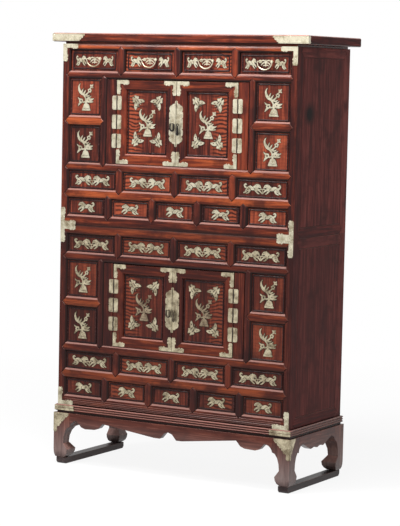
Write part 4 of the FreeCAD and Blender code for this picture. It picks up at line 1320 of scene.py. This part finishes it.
def place_leaf(sheet, node, low, high, pin_x, pin_rise, outward, knuckles):
    """A hinge leaf in its box, with six nails."""
    wide, tall, spot = measures(low, high)
    width = (wide - pin_gap) * leaf_share
    side = math.copysign(1, spot.x)
    sheet.at(side * pin_x, high.y, spot.z, wide=outward * side)
    draw_leaf(sheet, width, tall, pin_rise, knuckles)
    spots = [(u * width, v * tall) for u in (0.36, 0.8) for v in (-0.36, 0.0, 0.36)]
    nails_on(sheet, node, spots)


def at_corner(sheet, low, high, across, upward):
    """Draws from the corner of a box that points outwards, with u and v mirrored to suit."""
    corner_x = high.x if across > 0 else low.x
    corner_z = high.z if upward > 0 else low.z
    return sheet.at(corner_x, high.y, corner_z, wide=across, high=upward)


def door_mounts(tier, side):
    """The vase, butterflies, brackets, lock plate and hinge leaves of one door."""
    node = "%s_%s_door_mounts" % (tier, side)
    way = 1 if side == "right" else -1
    pin_x, pin_rise = hinge_pins(tier)
    sheet = Sheet()
    plates = boxes(node)
    centre = next(
        spot for wide, tall, spot in (measures(*plate) for plate in plates)
        if vase_from < tall < lock_from
    )
    butterflies = 0
    for low, high in plates:
        wide, tall, spot = measures(low, high)
        across, upward = math.copysign(1, spot.x - centre.x), math.copysign(1, spot.z - centre.z)
        if tall > lock_from:
            draw_lock(sheet.at(low.x if way > 0 else high.x, high.y, spot.z, wide=way), wide, tall)
            spots = [(wide * u, tall * v * s) for u, v in lock_nails for s in (1, -1)]
            nails_on(sheet, node, spots)
        elif tall > vase_from:
            vase = Sheet()
            place_figure(vase, low, high, draw_vase, vase_size)
            metal_piece(vase, node + "_vase", node, vase_metals[tier], replace=False)
        elif abs(spot.x) + pin_reach > pin_x:
            place_leaf(sheet, node, low, high, pin_x, pin_rise, -1, middle_knuckle)
        elif wide > bracket_from:
            at_corner(sheet, low, high, across, upward)
            sheet.plate(angle_outline(wide, 16, tall, 16), 0, plate_rise)
            nails_on(sheet, node, mirrored_places(bracket_nails))
        else:
            butterflies += 1
            turn = math.radians(across * (140 if upward > 0 else 40))
            # The butterfly gets the dark rim too: grime and painted shadow.
            sheet.grime = grime_and_shadow_reach
            draw_butterfly(sheet.at(spot.x, high.y, spot.z, turn=turn))
            sheet.grime = 0.0
    pull = middle_of(*boxes("%s_%s_door_pull" % (tier, side))[0])
    eye(sheet, pull.x, pull.y + eye_standoff * mm, centre.z)
    metal_piece(sheet, node, node, tier_metals[tier])
    return len(plates), butterflies


for tier in tiers:
    for side in sides:
        print(tier, side, "door: %d mounts, of them %d butterflies" % door_mounts(tier, side))
    node = tier + "_hinge_frame_leaves"
    sheet = Sheet()
    for low, high in boxes(node):
        place_leaf(sheet, node, low, high, *hinge_pins(tier), 1, end_knuckles)
    metal_piece(sheet, node, node, tier_metals[tier])

# %% [markdown]
# The drawers have a bail each, a crescent bar that hangs in two eyes. Behind it is a pierced
# plate with a face like a bat's, to keep the bail from marking the wood. A rosette sits under
# each eye, and a beast on each side looks at the bail.
#
# The doors have two pulls that differ, as in the photograph: an oblong ring on the left one and a
# long drop on the right one. They are dark iron on the upper doors and dark bronze on the lower
# ones.

# %% Bails and pulls
rosette_below = 20.0
pull_bar = 1.5


def draw_back_plate(sheet):
    """The pierced plate behind a bail."""
    for side in (1, -1):
        for number, line in enumerate((
            [(2, 1, 1.6), (9, 5, 2.2), (16, 3, 1.6), (20, 0, 1)],
            [(1, -3, 1.4), (8, -3, 2), (14, -7, 1.7), (17, -12, 0.6)],
            [(0, -12, 1.6), (6, -11, 1.8), (11, -14, 0.6)],
        )):
            line = [(side * u, v, half) for u, v, half in line]
            sheet.stroke(line, 0.9 - 0.07 * number - 0.03 * side)
    sheet.stroke([(0, 7, 0.8), (0, 2, 2.4), (0, -6, 2.2), (0, -15, 1.0)], 1.0)


def drawer_mounts(number):
    """Rosettes, eyes, beasts and the back plate of one drawer."""
    node = "drawer_%d_mounts" % number
    bail_low, bail_high = boxes("drawer_%d_bail" % number)[0]
    middle = middle_of(bail_low, bail_high)
    sheet = Sheet()
    for low, high in boxes(node):
        wide, tall, spot = measures(low, high)
        if wide < rosette_below:
            sheet.at(spot.x, high.y, spot.z)
            sheet.blossom(0, 0, 6.4, plate_rise, petals=8, depth=0.2)
            sheet.blossom(0, 0, 3.0, plate_rise + 0.6, depth=0)
            eye(sheet, spot.x, high.y - plate_rise * mm, spot.z)
            pivot_z, face = spot.z, high.y
        else:
            flip = 1 if spot.x < middle.x else -1
            place_figure(sheet, low, high, draw_beast, beast_size, flip)
    draw_back_plate(sheet.at(middle.x, face, pivot_z - 0.001))
    metal_piece(sheet, node, node)
    return middle, pivot_z


def bail(number, middle, pivot_z):
    """A crescent bar with its two pivots."""
    node = "drawer_%d_bail" % number
    low, high = boxes(node)[0]
    half, drop = (high.x - low.x) / mm / 2 - 2.0, (pivot_z - low.z) / mm - 2.4
    sheet = Sheet().at(middle.x, middle.y, pivot_z)
    steps = 20
    path = [(-half + 6.4, 0, 0, 1.3), (-half + 1.4, 0, 0, 1.5)]
    for k in range(steps + 1):
        a = math.pi * (1 + k / steps)
        path.append((half * math.cos(a), drop * math.sin(a) - 1.0, 0, 1.5 + 0.85 * -math.sin(a)))
    path += [(half - 1.4, 0, 0, 1.5), (half - 6.4, 0, 0, 1.3)]
    sheet.rod(path, sides=10)
    metal_piece(sheet, node, node)


def ring_pull(sheet, half, drop):
    """An oblong ring that hangs from its top bar."""
    side = half - 1.7
    foot = arc(0, side - drop + 1.7, side, 180, 360, 10)
    bar = [(1 - side, 0, 1.8), (-side, -2, 2.6)]
    path = bar + [(u, v, 3.0) for u, v in foot] + [(-u, v, radius) for u, v, radius in bar[::-1]]
    sheet.rod([(u, v, 0, radius) for u, v, radius in path], closed=True)


def drop_pull(sheet, half, drop):
    """A long drop that swells towards its foot."""
    sheet.rod([(0.6 - half, 0, 0, 1.4), (half - 0.6, 0, 0, 1.4)])
    for side in (1, -1):
        u = side * (half - 1.2)
        sheet.rod([(u, 0.6, 0, 1.3), (u, -5, 0, 1.5), (0, -9, 0, 1.7)])
    swell = [
        (-7, 2.5), (-12, 2.8), (-18, 3.2), (-26, 4.0), (-33, 4.8), (-36, 4.8), (-39, 3.4),
        (-41, 0.8),
    ]
    sheet.rod([(0, v * drop / 42, 0, radius) for v, radius in swell], sides=10)


for number in range(1, 5):
    middle, pivot_z = drawer_mounts(number)
    bail(number, middle, pivot_z)
for tier in tiers:
    for side in sides:
        node = "%s_%s_door_pull" % (tier, side)
        low, high = boxes(node)[0]
        wide, tall, centre = measures(low, high)
        sheet = Sheet().at(centre.x, centre.y, high.z - pull_bar * mm)
        draw = ring_pull if side == "left" else drop_pull
        draw(sheet, wide / 2, tall - pull_bar)
        metal_piece(sheet, node, node, iron if slot_of_node[node] == "iron" else dark_bronze)
print("4 bails and 4 pulls hang in their eyes")

# %% [markdown]
# The corners of the case, the top and the stand have the largest mounts. Those of the top board
# cover its edge and turn round its corner. A strip with a groove sits on each corner of the
# moulding, and a scalloped shield folds round the outer edge of each front leg.

# %% Corners, top and stand
top_half = 12.4
plate_back = 1.3
shield_reach = 61.0
side_plate_below = 5.0
shield_from = 40.0
corner_nails = [
    (-4, -4), (-4, -26), (-14, -26), (-4, -46), (-17, -49), (-9, -57), (-26, -4), (-26, -10),
    (-47, -3), (-50, -12), (-58, -7),
]


def outward(low, high):
    """Which way a plate on a corner points, 1 to the right or -1 to the left, and its outer x."""
    across = math.copysign(1, low.x + high.x)
    return across, high.x if across > 0 else low.x


def case_corners(tier):
    """The four angles on the front of a tier."""
    node = tier + "_corner_mounts"
    plates = boxes(node)
    centre_z = sum(middle_of(*plate).z for plate in plates) / len(plates)
    sheet = Sheet()
    for low, high in plates:
        wide, tall, spot = measures(low, high)
        upward = math.copysign(1, spot.z - centre_z)
        at_corner(sheet, low, high, outward(low, high)[0], upward)
        sheet.plate(angle_outline(wide, 18, tall, 21), 0, plate_rise)
        nails_on(sheet, node, corner_nails)
    metal_piece(sheet, node, node)
    return len(plates)


def top_corners():
    """The plates on the front corners of the top board, each with a part that turns the corner."""
    node = "top_corner_mounts"
    sheet = Sheet()
    h = top_half
    for low, high in boxes(node):
        length, tall, middle = measures(low, high)
        across, corner_x = outward(low, high)
        reach = (high.y - low.y) / mm - 4
        sheet.at(corner_x, low.y + plate_rise * mm, middle.z, wide=across)
        front = [
            (0.4, -h, 0), (0.4, h, 0), (-length, h, 0.3), (6 - length, 4.5, 0.35),
            (14 - length, -1.5, 0.35), (20 - length, -7.5, 0.3), (25 - length, -h, 0),
        ]
        sheet.plate(lobed(front), -plate_back, plate_rise - 0.1)
        for v, end in ((9.6, 8), (-9.6, 28)):
            line = [(-4, v, 0.3), (end - length, v, 0.3)]
            sheet.stroke(line, plate_rise, low=0, slot=line_metal)
        spots = [(-5 - 15 * k, side * 6.5) for k in range(8) for side in (1, -1)]
        nails_on(sheet, node, [(u, v) for u, v in spots if v > 0 or u > 24 - length])
        edge_x = corner_x - across * plate_rise * mm
        sheet.at(edge_x, low.y, middle.z, wide=across, facing=(across, 0, 0))
        edge = [(0.4, -h, 0), (reach, -h, 0.4), (reach, -3, 0.4), (reach, 3, 0.4), (reach, h, 0)]
        sheet.plate(lobed(edge + [(0.4, h, 0)]), -plate_back, plate_rise - 0.1)
        nails_on(sheet, node, [(5, 6.5), (5, -6.5)])
    metal_piece(sheet, node, node)


shield = [
    (0, 0, 0), (0, -64, -0.15), (-6, -70, -0.2), (-14, -60, 0.15), (-15, -48, -0.35),
    (-25, -40, -0.35), (-30, -29, -0.35), (-41, -24, -0.35), (-46, -14, -0.3), (-57, -10, -0.2),
    (-shield_reach, 0, 0),
]
shield_rim = [(-3, -60), (-11, -48), (-20, -37), (-36, -20), (-54, -6)]


def base_corners():
    """Shields on the legs and strips on the moulding."""
    node = "base_mounts"
    sheet = Sheet()
    for low, high in boxes(node):
        wide, tall, middle = measures(low, high)
        across, corner_x = outward(low, high)
        deep = (high.y - low.y) / mm
        if wide < side_plate_below:
            sheet.at(
                corner_x - across * plate_rise * mm, low.y, high.z,
                wide=-across * deep / shield_reach, facing=(across, 0, 0),
            )
            sheet.plate(lobed(shield), 0, plate_rise)
            spots = [(-6, -6), (-30, -6), (-50, -6), (-6, -30), (-6, -55), (-20, -36)]
        elif tall > shield_from:
            sheet.at(corner_x, high.y, high.z, wide=across * wide / shield_reach)
            sheet.plate(lobed(shield), 0, plate_rise)
            rim = [(u, v, 0.3) for u, v in shield_rim]
            sheet.stroke(rim, plate_rise + 0.15, low=0.4, slot=line_metal)
            spots = [(-4, -4), (-28, -4), (-52, -4), (-4, -28), (-4, -52), (-20, -24)]
        else:
            sheet.at(corner_x, high.y, middle.z, wide=across)
            spots = []
            for start, end in ((-tall / 2, -0.7), (0.7, tall / 2)):
                bar = [(1.0, start, 0), (1.0, end, 0), (-wide, end, 0.4), (-wide, start, 0)]
                sheet.plate(lobed(bar), 0, plate_rise)
                spots += [(-6 - 15 * k, (start + end) / 2) for k in range(5)]
        nails_on(sheet, node, spots)
    # The stand's brass is the duller, darker kind: partly tarnish, partly painted shade.
    metal_piece(sheet, node, node, dull_shaded_brass)


for tier in tiers:
    print(tier, "case corners:", case_corners(tier))
top_corners()
base_corners()

# %% [markdown]
# The mounts are in place, so the nail heads can go on: one object for each body that carries
# some, so that nails on a door turn with it. The Radius and the Material of the heads are inputs
# of their tree.

# %% Nail heads
nail_radius = 0.0012


def nail_tree():
    """Sets a flattened ball on each point, turned to the point's facing."""
    tree, inputs, output = geometry_tree("nails", [("Radius", "Float"), ("Material", "Material")])
    ball = add_node(
        tree, "GeometryNodeMeshUVSphere",
        {"Segments": 8, "Rings": 4, "Radius": inputs.outputs["Radius"]},
    )
    flat = add_node(
        tree, "GeometryNodeTransform", {"Geometry": ball.outputs["Mesh"], "Scale": (1.0, 1.0, 0.55)}
    )
    facing = add_node(
        tree, "GeometryNodeInputNamedAttribute", {"Name": "facing"}, data_type="FLOAT_VECTOR"
    )
    turn = add_node(
        tree, "FunctionNodeAlignRotationToVector", {"Vector": facing.outputs["Attribute"]}, axis="Z"
    )
    placed = add_node(
        tree, "GeometryNodeInstanceOnPoints",
        {"Points": inputs.outputs["Geometry"], "Instance": flat.outputs["Geometry"],
         "Rotation": turn.outputs["Rotation"]},
    )
    return finish_geometry(tree, inputs, output, placed.outputs["Instances"])


nail_heads = nail_tree()
count = 0
for body, places in nail_places.items():
    seed = bpy.data.meshes.new("nails_" + body + "_seed")
    seed.from_pydata([tuple(spot) for spot, facing in places], [], [])
    layer = seed.attributes.new("facing", "FLOAT_VECTOR", "POINT")
    for item, (spot, facing) in zip(layer.data, places):
        item.vector = facing
    mesh = grown("nails_" + body, seed, nail_heads, {"Radius": nail_radius, "Material": brass})
    mesh.shade_smooth()
    heads = show("nails_" + body, mesh)
    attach(heads, body)
    count += len(places)

# %% [markdown]
# The floor and the light belong to the studio. The photograph has a white ground with one soft
# shadow, a lamp high on the left in front, and a dark right side. A broad lamp further off fills
# the front, and one overhead lights the top and the upper edges. The floor is mostly its own
# white where the camera sees it, and the rest of it is lit, so the shadow still shows. The sky
# is white too where it is seen, and lights the chest with less than a third of that. The lamps
# stay at a plain level, so that the wood renders about as its colours are written.

# %% Studio
floor_reach = 30.0
floor_glow = 0.9
sky_light = 0.3


def seen_directly(tree):
    """One where the camera, a reflection or a clear material looks, and zero for other light."""
    path = add_node(tree, "ShaderNodeLightPath")
    mirror = maths(tree, "MAXIMUM", path.outputs["Is Camera Ray"], path.outputs["Is Glossy Ray"])
    return maths(tree, "MAXIMUM", mirror, path.outputs["Is Transmission Ray"])


def floor_material():
    """A pale floor that keeps the shadow near the chest and turns plain white further out."""
    material, tree = new_material("studio_floor")
    lit = add_node(tree, "ShaderNodeBsdfDiffuse", {"Color": (0.9, 0.9, 0.9, 1.0)})
    glow = add_node(tree, "ShaderNodeEmission", {"Color": white, "Strength": 1.0})
    away = vector_maths(tree, "LENGTH", object_place(tree), result="Value")
    share = times(tree, seen_directly(tree), fade(tree, away, 0.9, 3.0, floor_glow, 1.0))
    both = add_node(
        tree, "ShaderNodeMixShader", {0: share, 1: lit.outputs[0], 2: glow.outputs[0]}
    )
    add_node(tree, "ShaderNodeOutputMaterial", {"Surface": both.outputs[0]})
    return material


floor_mesh = bpy.data.meshes.new("floor")
corners = [(floor_reach * x, floor_reach * y, 0) for x, y in ((-1, -1), (1, -1), (1, 1), (-1, 1))]
floor_mesh.from_pydata(corners, [], [(0, 1, 2, 3)])
floor_mesh.materials.append(floor_material())
floor = show("floor", floor_mesh)

world = bpy.data.worlds.new("studio")
world.use_nodes = True
bpy.context.scene.world = world
sky = world.node_tree
sky.nodes.clear()
strength = maths(sky, "ADD", times(sky, seen_directly(sky), 1.0 - sky_light), sky_light)
background = add_node(sky, "ShaderNodeBackground", {"Color": white, "Strength": strength})
add_node(sky, "ShaderNodeOutputWorld", {"Surface": background.outputs[0]})


def lamp(name, place, target, side, power):
    """A square lamp that faces a point."""
    data = bpy.data.lights.new(name, "AREA")
    data.shape = "SQUARE"
    data.size = side
    data.energy = power
    obj = show(name, data)
    obj.location = place
    obj.rotation_euler = (Vector(target) - Vector(place)).to_track_quat("-Z", "Y").to_euler()


middle = (0.0, 0.0, size.z / 2)
lamp("key_lamp", (-1.1, -1.9, 2.7), (0.0, 0.0, 1.3), 0.7, 58.0)
lamp("front_lamp", (2.2, -4.2, 2.0), middle, 2.0, 28.0)
lamp("top_lamp", (0.1, -0.9, 2.9), (0.0, -0.15, 1.0), 0.8, 78.0)

# %% [markdown]
# The camera stands where the photographer's did. Its place, its turn and its lens were found by
# matching the corners and rails of the chest in the photograph with the same points of the
# frame. It stands about seven metres off, almost as high up as the chest is tall, turned thirty
# degrees to the left and dipped by five. So long a lens keeps the sides almost parallel. An
# unturned camera looks straight down, so it is rolled, raised to the horizon less its dip, and
# turned, in this order.

# %% Camera
camera_place = Vector((3.518, -6.095, 1.363))
camera_turn, camera_dip, camera_roll = (math.radians(a) for a in (30.02, 5.22, 1.24))
camera_lens = 140.3

camera_data = bpy.data.cameras.new("photo_camera")
camera_data.lens = camera_lens
camera_data.sensor_width = 36.0
camera_data.clip_end = 60.0
camera = show("photo_camera", camera_data)
camera.matrix_world = (
    Matrix.Translation(camera_place)
    @ Matrix.Rotation(camera_turn, 4, "Z")
    @ Matrix.Rotation(math.pi / 2 - camera_dip, 4, "X")
    @ Matrix.Rotation(camera_roll, 4, "Z")
)
bpy.context.scene.camera = camera
bpy.context.scene.view_settings.view_transform = "Standard"
print("camera %.2f m from the chest" % (camera_place - Vector(middle)).length)
